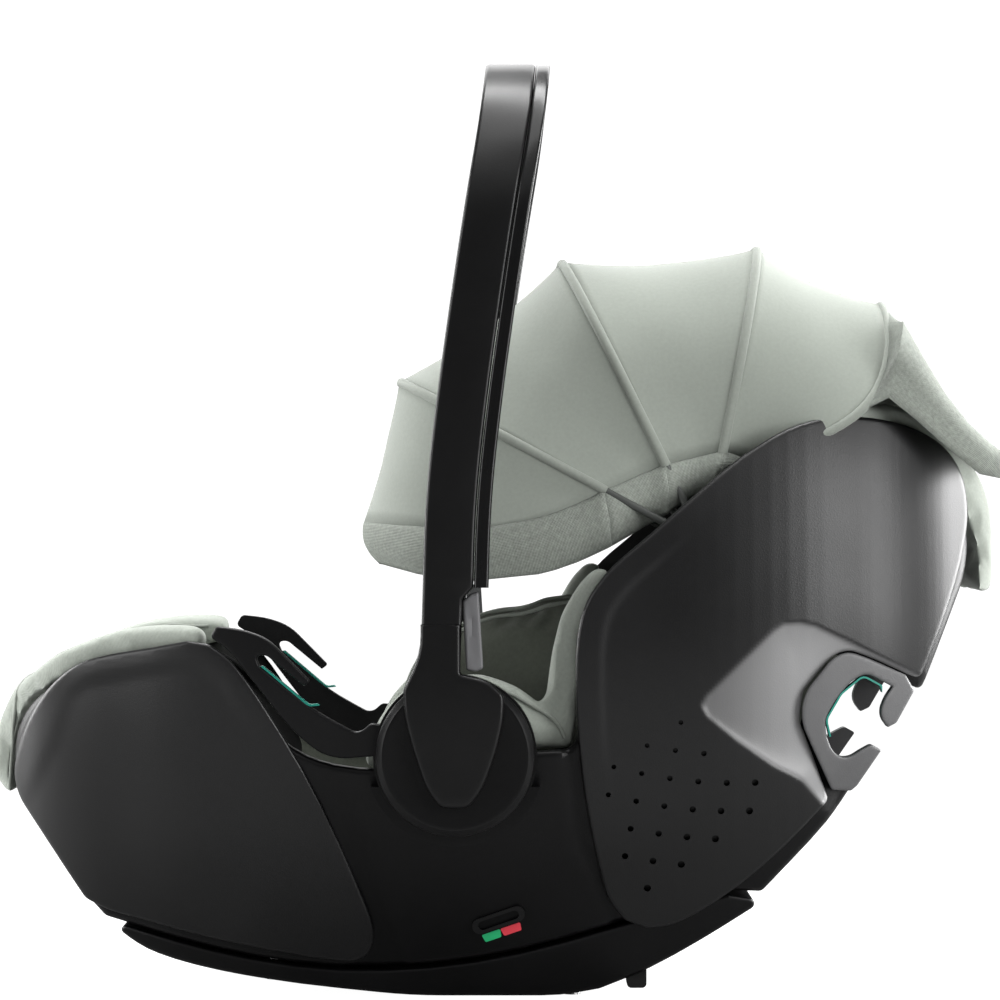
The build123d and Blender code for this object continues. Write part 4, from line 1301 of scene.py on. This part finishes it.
    def build_sleeve(self, bow: Bow) -> bpy.types.Object:
        """The sewn sleeve that a bow runs in, hardly proud of the cloth."""
        line = self.curve(bow, self.low(bow.angle) - 2, 0.1)
        angle = math.radians(bow.angle)
        plane = Vector((-math.sin(angle), 0, math.cos(angle)))
        rings = []
        for i, spot in enumerate(line):
            along = (line[min(i + 1, len(line) - 1)] - line[max(i - 1, 0)]).normalized()
            out = along.cross(plane).normalized()
            rings.append([spot + out * (2.75 * math.cos(a)) + plane * (3.2 * math.sin(a))
                          for a in np.linspace(0, math.tau, 13)[:-1]])
        thing = dress(finish_mesh(swept(rings), f"HoodSleeve.{bow.name}", 80), SEAM_KNIT)
        if bow.name == "fixed":
            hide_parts("canopy_bow_fixed")
        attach(thing, bow.body)
        return thing

    def lower(self, spot: Vector) -> Vector:
        """Where the twill band's lower edge lies for a point of its upper edge."""
        table = ((-93, -83, 286), (-86, -79, 286), (-55, -55, 280.5), (-20, -21, 276.0), (26, 29, 281),
                 (48, 52, 289),
                 (69, 75, 300), (108, 111, 321), (145, 141, 341), (170, 166, 353), (215, 210, 375))
        keys = [row[0] for row in table]
        x = float(np.interp(spot.x, keys, [row[1] for row in table]))
        z = float(np.interp(spot.x, keys, [row[2] for row in table]))
        return Vector((x, spot.y * 1.01, z))

    def band(self, upper: list[Vector]) -> list[list[Vector]]:
        """The twill band below a line of upper points, a little puffed and gathered at its elastic edge."""
        rings = []
        count = len(upper)
        run = 0.0
        for i, spot in enumerate(upper):
            foot = self.lower(spot)
            before, after = upper[max(i - 1, 0)], upper[min(i + 1, count - 1)]
            run += (spot - before).length
            down = foot - spot
            out = (after - before).cross(down).normalized()
            centre = Vector((60, 0, spot.z))
            if out.dot(spot - centre) < 0:
                out = -out
            ring = []
            for j in range(13):
                v = j / 12
                puff = 0.3 + 4.2 * math.sin(math.pi * min(1.0, v * 1.02)) ** 0.9
                gather = 0.55 * smooth(np.array(v), 0.55, 0.95).item() * math.sin(run * 0.95)
                ring.append(spot + down * v + out * (puff + gather - 2.2 * v * v))
            rings.append(ring)
        return rings

    def build_band(self, name: str, rings: list[list[Vector]], bodies: tuple[str, ...],
                   ends: tuple[Bow, Bow] | None) -> bpy.types.Object:
        """A stretch of the twill band with its ribbed elastic hem."""
        bm = swept(rings, cap=False, loop=False)
        self.map_cloth(bm, rings)
        area = sum(face.calc_area() for face in bm.faces) * MM * MM
        feet = {tuple(round(c, 2) for c in spot) for ring in rings for spot in ring[-3:]}
        for face in bm.faces:
            if all(tuple(round(c, 2) for c in vert.co) in feet for vert in face.verts):
                face.material_index = 1
        bm.normal_update()
        first = bm.faces[:][len(bm.faces) // 3]
        if first.normal.dot(first.calc_center_median() - Vector((60, 0, 300))) < 0:
            bmesh.ops.reverse_faces(bm, faces=bm.faces)
        thing = dress(finish_mesh(bm, name, 80), HOOD_TWILL, HEM_RIB)
        cloth = thing.modifiers.new("cloth", "SOLIDIFY")
        cloth.thickness = 0.0016
        cloth.offset = -1
        if ends is None:
            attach(thing, bodies[0])
        else:
            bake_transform(thing)
        return thing

    def build_tail(self) -> bpy.types.Object:
        """The rear flap, from the fixed bow down over the head end."""
        top = [(257, 459.5), (266, 447), (279, 424), (294, 399), (309, 380), (324, 366.5), (338.5, 356)]
        low = [(236, 400), (255, 396), (273, 382), (289, 368), (303, 356.5), (316, 346), (331, 343)]
        rings = [self.curve(self.bows[0], 131.0, self.over)]
        for k, ((xt, zt), (xl, zl)) in enumerate(zip(top[1:], low[1:]), 1):
            half = 153.0 - 4.0 * k
            height = math.hypot(xt - xl, zt - zl)
            shape = rounded([(0, -half), (height, -half), (height, 0)], [0, min(30.0, height * 0.95), 0],
                            False, 9)
            length = np.concatenate([[0], np.cumsum([math.dist(a, b) for a, b in zip(shape, shape[1:])])])
            even = np.linspace(0, length[-1], self.across + 1)
            hs = np.interp(even, length, [p[0] for p in shape])
            ys = np.interp(even, length, [p[1] for p in shape])
            left = [Vector((xl + (xt - xl) * h / height, y, zl + (zt - zl) * h / height)) for h,
                    y in zip(hs, ys)]
            rings.append(left + [Vector((p.x, -p.y, p.z)) for p in left[-2::-1]])
        thing = self.sheet("HoodTail", rings, HOOD_TWILL, ("carrier",), ["canopy_tail"])
        return thing

    def build(self) -> list[bpy.types.Object]:
        """Every piece of the hood."""
        made = []
        names = (("Rear", "canopy_panel_rear"), ("Middle", "canopy_panel_middle"),
                 ("Front", "canopy_panel_front"))
        left: list[Vector] = []
        cuts = [0]
        for (word, node), first, second in zip(names, self.bows, self.bows[1:]):
            rings = self.sector(first, second, 14, self.sag)
            bodies = (first.body, second.body)
            made.append(self.sheet(f"HoodCloth.{word}", rings, HOOD_KNIT, bodies, [node],
                                   (first, second)))
            left += [ring[0] for ring in (rings[1:] if left else rings)]
            cuts.append(len(left) - 1)
        front = self.bows[-1]
        brim = Bow("brim", self.brim_angle, 224.0, front.half, front.body)
        rings = self.sector(front, brim, 10, 2.0)
        made.append(self.sheet("HoodVisor", rings, HOOD_KNIT, (front.body,),
                               ["canopy_visor"]))
        left += [ring[0] for ring in rings[1:-1]]
        path = left + rings[-1] + [Vector((p.x, -p.y, p.z)) for p in left[::-1]]
        band = self.band(path)
        for (word, _), first, second, a, b in zip(names, self.bows, self.bows[1:], cuts, cuts[1:]):
            last = len(band) - 1
            for side, part in ((Side.LEFT, band[a:b + 1]), (Side.RIGHT, band[last - b:last - a + 1][::-1])):
                made.append(self.build_band(f"HoodBand.{word}.{side.word}", part, (first.body, second.body),
                                            (first, second)))
        made.append(self.build_band("HoodBand.Brim", band[cuts[-1]:len(band) - cuts[-1]], (front.body,),
                                    None))
        made += [self.build_sleeve(bow) for bow in self.bows]
        made.append(self.build_tail())
        return made


# ---------------------------------------------------------------- soft lining and cushions
@dataclass
class Pad:
    """How one cushion is made from its CAD solid: remeshed, softened, swollen and cut with seams."""

    name: str
    nodes: tuple[str, ...]
    body: str
    slot: str
    finish: Cloth
    voxel: float = 5.0
    shrink: float = 1.5
    swell: float = 6.0
    soften: int = 5
    fill: float = 0.6
    limit: Callable[[np.ndarray], np.ndarray] | None = None

    def blank(self) -> bpy.types.Object:
        """The CAD solid's shape as one even skin, a little smaller than the solid."""
        bm = bmesh.new()
        bm.from_mesh(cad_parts[self.nodes[0]].data)
        bmesh.ops.remove_doubles(bm, verts=bm.verts, dist=1e-5)
        mesh = bpy.data.meshes.new(self.name)
        bm.to_mesh(mesh)
        bm.free()
        thing = bpy.data.objects.new(self.name, mesh)
        bpy.context.scene.collection.objects.link(thing)
        remesh = thing.modifiers.new("skin", "REMESH")
        remesh.mode = "VOXEL"
        remesh.voxel_size = self.voxel * MM
        self.bake(thing)
        bm = bmesh.new()
        bm.from_mesh(thing.data)
        for _ in range(self.soften):
            bmesh.ops.smooth_vert(bm, verts=bm.verts, factor=0.5, use_axis_x=True, use_axis_y=True,
                                  use_axis_z=True)
        bm.normal_update()
        for vert in bm.verts:
            vert.co -= vert.normal * self.shrink * MM
        bm.to_mesh(thing.data)
        bm.free()
        return thing

    def bake(self, thing: bpy.types.Object) -> None:
        """Applies a piece's modifiers to its mesh."""
        depsgraph = bpy.context.evaluated_depsgraph_get()
        mesh = bpy.data.meshes.new_from_object(thing.evaluated_get(depsgraph))
        thing.modifiers.clear()
        old = thing.data
        thing.data = mesh
        bpy.data.meshes.remove(old)

    def fill_out(self, thing: bpy.types.Object) -> None:
        """Swells the pad as stuffed cloth, no point moving further than the pad's swell."""
        start = np.empty(len(thing.data.vertices) * 3)
        thing.data.vertices.foreach_get("co", start)
        start = start.reshape(-1, 3)
        cloth = thing.modifiers.new("cloth", "CLOTH")
        cloth.settings.use_pressure = True
        cloth.settings.uniform_pressure_force = 4.0
        cloth.settings.effector_weights.gravity = 0.0
        cloth.settings.quality = 4
        cloth.settings.tension_stiffness = 12
        cloth.settings.compression_stiffness = 12
        scene = bpy.context.scene
        for step in range(1, 15):
            scene.frame_set(step)
        depsgraph = bpy.context.evaluated_depsgraph_get()
        evaluated = thing.evaluated_get(depsgraph)
        moved = np.empty_like(start).reshape(-1)
        evaluated.data.vertices.foreach_get("co", moved)
        moved = moved.reshape(-1, 3)
        thing.modifiers.clear()
        scene.frame_set(1)
        step = moved - start
        size = np.linalg.norm(step, axis=1, keepdims=True)
        cap = self.swell * MM
        kept = start + step * np.minimum(1.0, cap / np.maximum(size, 1e-9))
        thing.data.vertices.foreach_set("co", kept.reshape(-1))
        thing.data.update()

    def build(self) -> bpy.types.Object:
        """The finished pad, not yet riding on a body."""
        thing = self.blank()
        self.fill_out(thing)
        if self.limit is not None:
            spots = np.empty(len(thing.data.vertices) * 3)
            thing.data.vertices.foreach_get("co", spots)
            spots = self.limit(spots.reshape(-1, 3) / MM) * MM
            thing.data.vertices.foreach_set("co", spots.reshape(-1))
        for face in thing.data.polygons:
            face.use_smooth = True
        return dress(thing, self.finish)

    def settle(self, thing: bpy.types.Object, body: str | None = None,
               nodes: Sequence[str] | None = None) -> bpy.types.Object:
        subdivision = thing.modifiers.new("round", "SUBSURF")
        subdivision.levels = 1
        subdivision.render_levels = 1
        return place(thing, body or self.body, self.slot, list(nodes or self.nodes))


def tube(line: Sequence[Vector], radius: float, name: str, sides: int = 8) -> bpy.types.Object:
    """A round cord of cloth or thread along a line, in millimetres."""
    rings = []
    count = len(line)
    up = Vector((0.13, 0.21, 0.97))
    for i, spot in enumerate(line):
        along = (line[min(i + 1, count - 1)] - line[max(i - 1, 0)]).normalized()
        side = along.cross(up).normalized()
        up = side.cross(along).normalized()
        rings.append([spot + side * (radius * math.cos(a)) + up * (radius * math.sin(a))
                      for a in np.linspace(0, math.tau, sides + 1)[:-1]])
    return finish_mesh(swept(rings), name, 80)


def lay_on(thing: bpy.types.Object, corners: Sequence[Vector], lift: float,
           step: float = 5.0) -> list[Vector]:
    """Lays a line through corners onto a pad's skin.

    Args:
        thing: The pad.
        corners: The line's corners, in millimetres.
        lift: How far off the skin it lies.
        step: The distance between its points.

    Returns:
        The line's points, in millimetres.
    """
    tree = BVHTree.FromPolygons([v.co / MM for v in thing.data.vertices],
                                [list(f.vertices) for f in thing.data.polygons])
    spots: list[Vector] = []
    for a, b in zip(corners, corners[1:]):
        count = max(1, round((b - a).length / step))
        spots += [a.lerp(b, k / count) for k in range(count)]
    spots.append(corners[-1])
    laid = []
    for spot in spots:
        place_on, normal, _, _ = tree.find_nearest(spot)
        laid.append(place_on + normal * lift)
    for _ in range(3):
        laid = [laid[0]] + [(a + b * 2 + c) / 4 for a, b, c in zip(laid, laid[1:], laid[2:])] + [laid[-1]]
    return laid


@dataclass
class Lining:
    """The seat's soft pieces: end rolls, wings, cushions, liners and their piping."""

    crease: Point = (22.0, 74.0)
    slope: float = 41.0
    rim: list[Point] = field(default_factory=lambda: flowing(
        (-306, 150), (-308, 188, 12), (-272, 211), (-207, 221), (-165, 192), (-132, 156), (-84, 146),
        (20, 160),
        (52, 164, 12), (61, 240), (97, 291), (163, 344), (219, 369), (268, 362), (297, 338), (305, 300),
        (282, 232, 12), (262, 224), (240, 233), (211, 222), (196, 190), (192, 150), (150, 100), (60, 74),
        (0, 62),
        (-60, 66), (-160, 84), (-262, 112)))

    def back(self, u: float, n: float, y: float = 0.0) -> Vector:
        """A point of the backrest: u up it from the crease, n out of it."""
        turn = math.radians(self.slope)
        return Vector((self.crease[0] + u * math.cos(turn) - n * math.sin(turn), y,
                       self.crease[1] + u * math.sin(turn) + n * math.cos(turn)))

    def press_back(self, spots: np.ndarray) -> np.ndarray:
        """Keeps the backrest flat under the harness, with sewn channels across it."""
        turn = math.radians(self.slope)
        x, y, z = spots.T
        u = (x - self.crease[0]) * math.cos(turn) + (z - self.crease[1]) * math.sin(turn)
        n = -(x - self.crease[0]) * math.sin(turn) + (z - self.crease[1]) * math.cos(turn)
        inner = (np.abs(y) < 99) & (n > 12) & (n < 34)
        channel = np.exp(-((np.abs(y) - 24) / 2.2) ** 2) * smooth(u, 40,
                                                                  60) + np.exp(-((u - 232) / 2.2) ** 2)
        level = np.minimum(n, 20.0 - 0.0012 * np.maximum(np.abs(y) - 20, 0) ** 2) - 2.2 * channel
        shift = np.where(inner, level - n, 0.0)
        return spots + np.stack([-shift * math.sin(turn), 0 * y, shift * math.cos(turn)], axis=1)

    def press_seat(self, spots: np.ndarray) -> np.ndarray:
        """Keeps the seat below the crotch strap, with one channel across it."""
        x, y, z = spots.T
        top = np.where(np.abs(y) < 30, 96.2, 200.0)
        channel = 2.5 * np.exp(-((x + 90) / 2.5) ** 2) * (z > 90)
        return np.stack([x, y, np.where(x > -50, np.minimum(z, top), z) - channel], axis=1)

    def build_pads(self) -> list[bpy.types.Object]:
        """The cushions, pads and end rolls."""
        made = []
        knit, dark = SEAT_KNIT, SEAT_DARK
        plans = [
            Pad("FootRoll", ("foot_end_cover",), "carrier", "seat_fabric", knit, 4.5, 1.0, 5.0, 4),
            Pad("HeadRoll", ("head_end_cover",), "carrier", "seat_fabric", knit, 4.5, 1.0, 5.0, 4),
            Pad("SeatCushion", ("seat_cushion",), "carrier", "seat_fabric", knit, 5.0, 3.0, 8.0, 6, 0.6,
                self.press_seat),
            # Painted shade: the backrest cushion's cloth is darkened.
            Pad("BackCushion", ("backrest_cushion",), "carrier", "seat_fabric", BACK_KNIT_PAINTED_SHADE, 4.5, 2.5, 7.0, 5,
                0.6, self.press_back),
            Pad("SeatLiner", ("foam_lining",), "carrier", "foam_white", dark, 5.0, 0.6, 1.0, 3, 0.2),
            Pad("HeadrestPad", ("headrest_pad",), "headrest", "seat_fabric", knit, 4.0, 1.5, 6.0, 4, 0.7),
        ]
        for plan in plans:
            thing = plan.build()
            if plan.name == "BackCushion":
                made += self.pipe_bolsters(thing)
            if plan.name == "FootRoll":
                made += self.seam_foot(thing)
            made.append(plan.settle(thing))
        for name, node, finish, voxel, swell, body in (
                ("WingPad", "side_wing_pad", knit, 4.0, 6.0, "carrier"),
                ("ShoulderPad", "shoulder_pad", dark, 3.0, 3.0, "carrier")):
            plan = Pad(name + ".left", (f"{node}_left",), body, "seat_fabric", finish, voxel, 1.2, swell, 4)
            thing = plan.build()
            bm = bmesh.new()
            bm.from_mesh(thing.data)
            twin = mirrored(bm)
            bm.free()
            mesh = bpy.data.meshes.new(name + ".right")
            twin.to_mesh(mesh)
            twin.free()
            other = bpy.data.objects.new(name + ".right", mesh)
            bpy.context.scene.collection.objects.link(other)
            dress(other, finish)
            if name == "WingPad":
                made += self.pipe_wing(thing)
            made.append(plan.settle(thing))
            made.append(plan.settle(other, body, [f"{node}_right"]))
        return made

    def trim(self, thing: bpy.types.Object, finish: Cloth, body: str = "carrier",
             slot: str = "seat_fabric") -> bpy.types.Object:
        """Dresses a piping or a seam and puts it on its body."""
        return place(dress(thing, finish), body, slot)

    def pipe_wing(self, pad: bpy.types.Object) -> list[bpy.types.Object]:
        """The piping near the wings' upper edges."""
        made = []
        line = [(-84, 176), (-74, 194), (-56, 207), (-12, 211), (13, 203), (36, 187), (45, 171)]
        line = rounded(line, 30, False)
        spots = lay_on(pad, [Vector((x, -185, z)) for x, z in line], 0.6, 4.0)
        for side in Side:
            points = [Vector((p.x, p.y * -side.value, p.z)) for p in spots]
            made.append(self.trim(tube(points, 1.5, f"WingPiping.{side.word}"), PIPING))
        return made

    def pipe_bolsters(self, pad: bpy.types.Object) -> list[bpy.types.Object]:
        """Piping round the bolsters' inner and outer top edges."""
        made = []
        line = rounded([(-66, 132), (-74, 190), (-60, 229), (-14, 256), (28, 267), (60, 269), (96, 268)],
                       30, False)
        for word, y in (("Inner", -102), ("Outer", -117)):
            spots = lay_on(pad, [Vector((x, y, z)) for x, z in line], 0.5, 4.0)
            for side in Side:
                points = [Vector((p.x, p.y * -side.value, p.z)) for p in spots]
                made.append(self.trim(tube(points, 1.3, f"Bolster{word}Piping.{side.word}"), PIPING))
        return made

    def seam_foot(self, pad: bpy.types.Object) -> list[bpy.types.Object]:
        """The two seams over the foot-end roll."""
        made = []
        for name, y in (("Left", -96), ("Right", 96)):
            corners = [Vector((x, y * (1 if x > -300 else 0.93), z)) for x, z in rounded(
                [(-334, 136), (-338, 160), (-322, 204), (-292, 231), (-258, 243), (-226, 250), (-200, 250)],
                30, False)]
            made.append(self.trim(tube(lay_on(pad, corners, 0.1, 5.0), 1.2, f"FootSeam.{name}"), PIPING))
        return made

    def build_sides(self) -> list[bpy.types.Object]:
        """The cloth on the inside of the shell's two walls."""
        made = []
        for side in Side:
            bm = sheet_of(self.rim, 12.0, [3.0, 6.0])

            def surface(x: np.ndarray, z: np.ndarray, inside: np.ndarray) -> np.ndarray:
                """Just inside the shell's wall, a little padded."""
                return -ENVELOPE.half(x, z, 9.5 + 3.0 * smooth(inside, 0, 30))

            drape(bm, self.rim, surface)
            bmesh.ops.reverse_faces(bm, faces=bm.faces)
            area = sum(face.calc_area() for face in bm.faces) * MM * MM
            if side is Side.RIGHT:
                bm = mirrored(bm)
            thing = dress(finish_mesh(bm, f"SideLining.{side.word}"), SEAT_DARK)
            cloth = thing.modifiers.new("cloth", "SOLIDIFY")
            cloth.thickness = 0.0015
            cloth.offset = 1
            made.append(place(thing, "carrier", "seat_fabric"))
        return made

    def strap(self, name: str, line: list[Vector], half: float, nodes: list[str]) -> bpy.types.Object:
        """A flat webbing strap with rounded edges along a line of its middle."""
        rings = []
        for i, spot in enumerate(line):
            along = (line[min(i + 1, len(line) - 1)] - line[max(i - 1, 0)]).normalized()
            out = Vector((0, 1, 0)).cross(along).normalized()
            ring = rounded([(-half, -0.8), (half, -0.8), (half, 0.8), (-half, 0.8)], 0.7, arc_step=45)
            rings.append([spot + Vector((0, a, 0)) + out * b for a, b in ring])
        thing = dress(finish_mesh(swept(rings), name), WEBBING)
        return place(thing, "carrier", "webbing_black", nodes)

    def build_harness(self) -> list[bpy.types.Object]:
        """The shoulder straps and the crotch strap."""
        made = []
        for side in Side:
            y = 45.0 * side.value
            corners = [(190, 21.4), (160, 21.5), (130, 22.2), (104, 23.4), (78, 25.6)]
            line = [self.back(u, n, y) for u, n in rounded(corners, 60, False, 3)]
            made.append(self.strap(f"ShoulderStrap.{side.word}", line, 19.0,
                                   [f"shoulder_strap_{side.word}"]))
        low = self.crease[1] + 23.3
        points = [(self.crease[0] - 54, low), (self.crease[0] - 19, low + 0.3)]
        end = self.back(8, 30)
        line = [Vector((x, 0, z)) for x, z in rounded([*points, (end.x, end.z)], 24, False, 6)]
        made.append(self.strap("CrotchStrap", line, 19.0, ["crotch_strap"]))
        return made

    def build(self) -> list[bpy.types.Object]:
        """Every soft piece of the seat."""
        return [*self.build_pads(), *self.build_sides(), *self.build_harness()]


@dataclass
class Fittings:
    """The pieces whose CAD shape is kept: they get a finish and softened edges."""

    finishes: dict[str, tuple[Plastic | Metal, float]] = field(default_factory=lambda: {
        "hub_socket": (HUB_BLACK, 0.8), "rear_feet": (RUBBER, 1.2), "front_latch_bar": (STEEL, 0.4),
        "rear_latch_bar": (STEEL, 0.4), "cover_screws": (STEEL, 0.3),
        "level_indicator_bezels": (COVER_BLACK, 0.5),
        "level_marks_green": (MARK_GREEN, 0.0), "level_marks_red": (MARK_RED, 0.0),
        "level_slider": (SLIDER_WHITE, 0.6),
        "canopy_bow": (BOW_PLASTIC, 0.0), "canopy_pivot_pins": (STEEL, 0.3),
        "handle_lock_rings": (STEEL, 0.3),
        "belt_liners": (TEAL, 0.15), "headrest_shell": (HEADREST_BLACK, 1.5),
        "headrest_lever": (HEADREST_BLACK, 1.0),
        "buckle_housing": (BUCKLE_BLACK, 1.2), "buckle_tongues": (STEEL, 0.3),
        "buckle_button": (BUCKLE_RED, 0.5),
    })

    def build(self) -> list[bpy.types.Object]:
        """Dresses every CAD node that still shows."""
        made = []
        for name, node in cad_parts.items():
            if node.hide_render:
                continue
            finish, edge = next((value for key, value in self.finishes.items() if key in name),
                                (COVER_BLACK, 0.4))
            dress(node, finish)
            if edge:
                bevel = node.modifiers.new("edge", "BEVEL")
                bevel.width = edge * MM
                bevel.segments = 2
                bevel.limit_method = "ANGLE"
                bevel.angle_limit = math.radians(40)
            made.append(node)
        return made


@dataclass
class Studio:
    """The floor, the soft lights and the camera."""

    distance: float = 3.9
    eye: float = 0.329

    def light(self, name: str, spot: Vector, aim: Vector, size: tuple[float, float], power: float) -> None:
        """Adds a soft box that shines at a point.

        Args:
            name: The light's name.
            spot: Where it stands.
            aim: What it faces.
            size: Its width and height.
            power: Its power in watts.
        """
        data = bpy.data.lights.new(name, "AREA")
        data.shape = "RECTANGLE"
        data.size, data.size_y = size
        data.energy = power
        lamp = bpy.data.objects.new(name, data)
        bpy.context.scene.collection.objects.link(lamp)
        lamp.location = spot
        lamp.rotation_euler = (aim - spot).to_track_quat("-Z", "Y").to_euler()
        lamp.visible_camera = False

    def build(self) -> None:
        """Sets the stage."""
        bm = bmesh.new()
        bmesh.ops.create_grid(bm, x_segments=1, y_segments=1, size=9000)
        floor = finish_mesh(bm, "Floor")
        dress(floor, Plastic("FloorPale", (0.3, 0.3, 0.3), 0.9, 0.0, 40.0, 0.0))
        tree = floor.data.materials[0].node_tree
        shader = tree.nodes["Principled BSDF"]
        shader.inputs["Emission Color"].default_value = (1, 1, 1, 1)
        glow = _math(tree, "MULTIPLY", _node(tree, "LightPath").outputs["Is Camera Ray"], 0.98)
        tree.links.new(glow, shader.inputs["Emission Strength"])
        world = bpy.data.worlds.new("World")
        bpy.context.scene.world = world
        world.use_nodes = True
        tree = world.node_tree
        back = tree.nodes["Background"]
        back.inputs[0].default_value = (1, 1, 1, 1)
        back.inputs[1].default_value = 1.15
        dim = _node(tree, "Background", Color=(1, 1, 1, 1), Strength=0.16)
        rays = _node(tree, "LightPath")
        mix = _node(tree, "MixShader")
        tree.links.new(rays.outputs["Is Camera Ray"], mix.inputs[0])
        tree.links.new(dim.outputs[0], mix.inputs[1])
        tree.links.new(back.outputs[0], mix.inputs[2])
        tree.links.new(mix.outputs[0], tree.nodes["World Output"].inputs[0])
        aim = Vector((0.0, 0.0, 0.3))
        self.light("KeyTop", Vector((0.1, -0.6, 2.5)), aim, (1.8, 1.4), 26)
        self.light("Front", Vector((0.0, -2.4, 2.9)), aim, (3.4, 2.4), 16)
        self.light("SideHead", Vector((1.9, -1.3, 0.6)), aim, (0.9, 1.8), 48)
        self.light("SideFoot", Vector((-2.0, -1.1, 0.8)), aim, (0.9, 1.8), 30)
        self.light("RimHead", Vector((1.9, 0.8, 0.5)), aim, (1.0, 1.6), 85)
        self.light("RimFoot", Vector((-1.9, 0.8, 0.7)), aim, (0.9, 1.4), 42)
        self.light("BackTop", Vector((0.0, 2.0, 1.6)), aim, (2.4, 1.2), 26)
        self.light("TopStrip", Vector((0.1, 0.35, 2.1)), Vector((0.0, 0.0, 0.6)), (1.6, 0.5), 40)
        data = bpy.data.cameras.new("Camera")
        camera = bpy.data.objects.new("Camera", data)
        bpy.context.scene.collection.objects.link(camera)
        data.lens = 206.0
        data.clip_end = 50
        camera.location = (0, -self.distance, self.eye)
        camera.rotation_euler = (math.pi / 2, 0, 0)
        bpy.context.scene.camera = camera
        scene = bpy.context.scene
        scene.view_settings.view_transform = "Standard"
        scene.view_settings.look = "None"


def main() -> None:
    """Builds every part in order."""
    logging.basicConfig(level=logging.INFO, format="%(message)s")
    for part in (HardShell(), Handle(), Hood(), Lining(), Fittings()):
        for piece in part.build():
            LOG.info("%s: %s, %d faces", type(part).__name__, piece.name, len(piece.data.polygons))
    Studio().build()


if __name__ == "__main__":
    main()
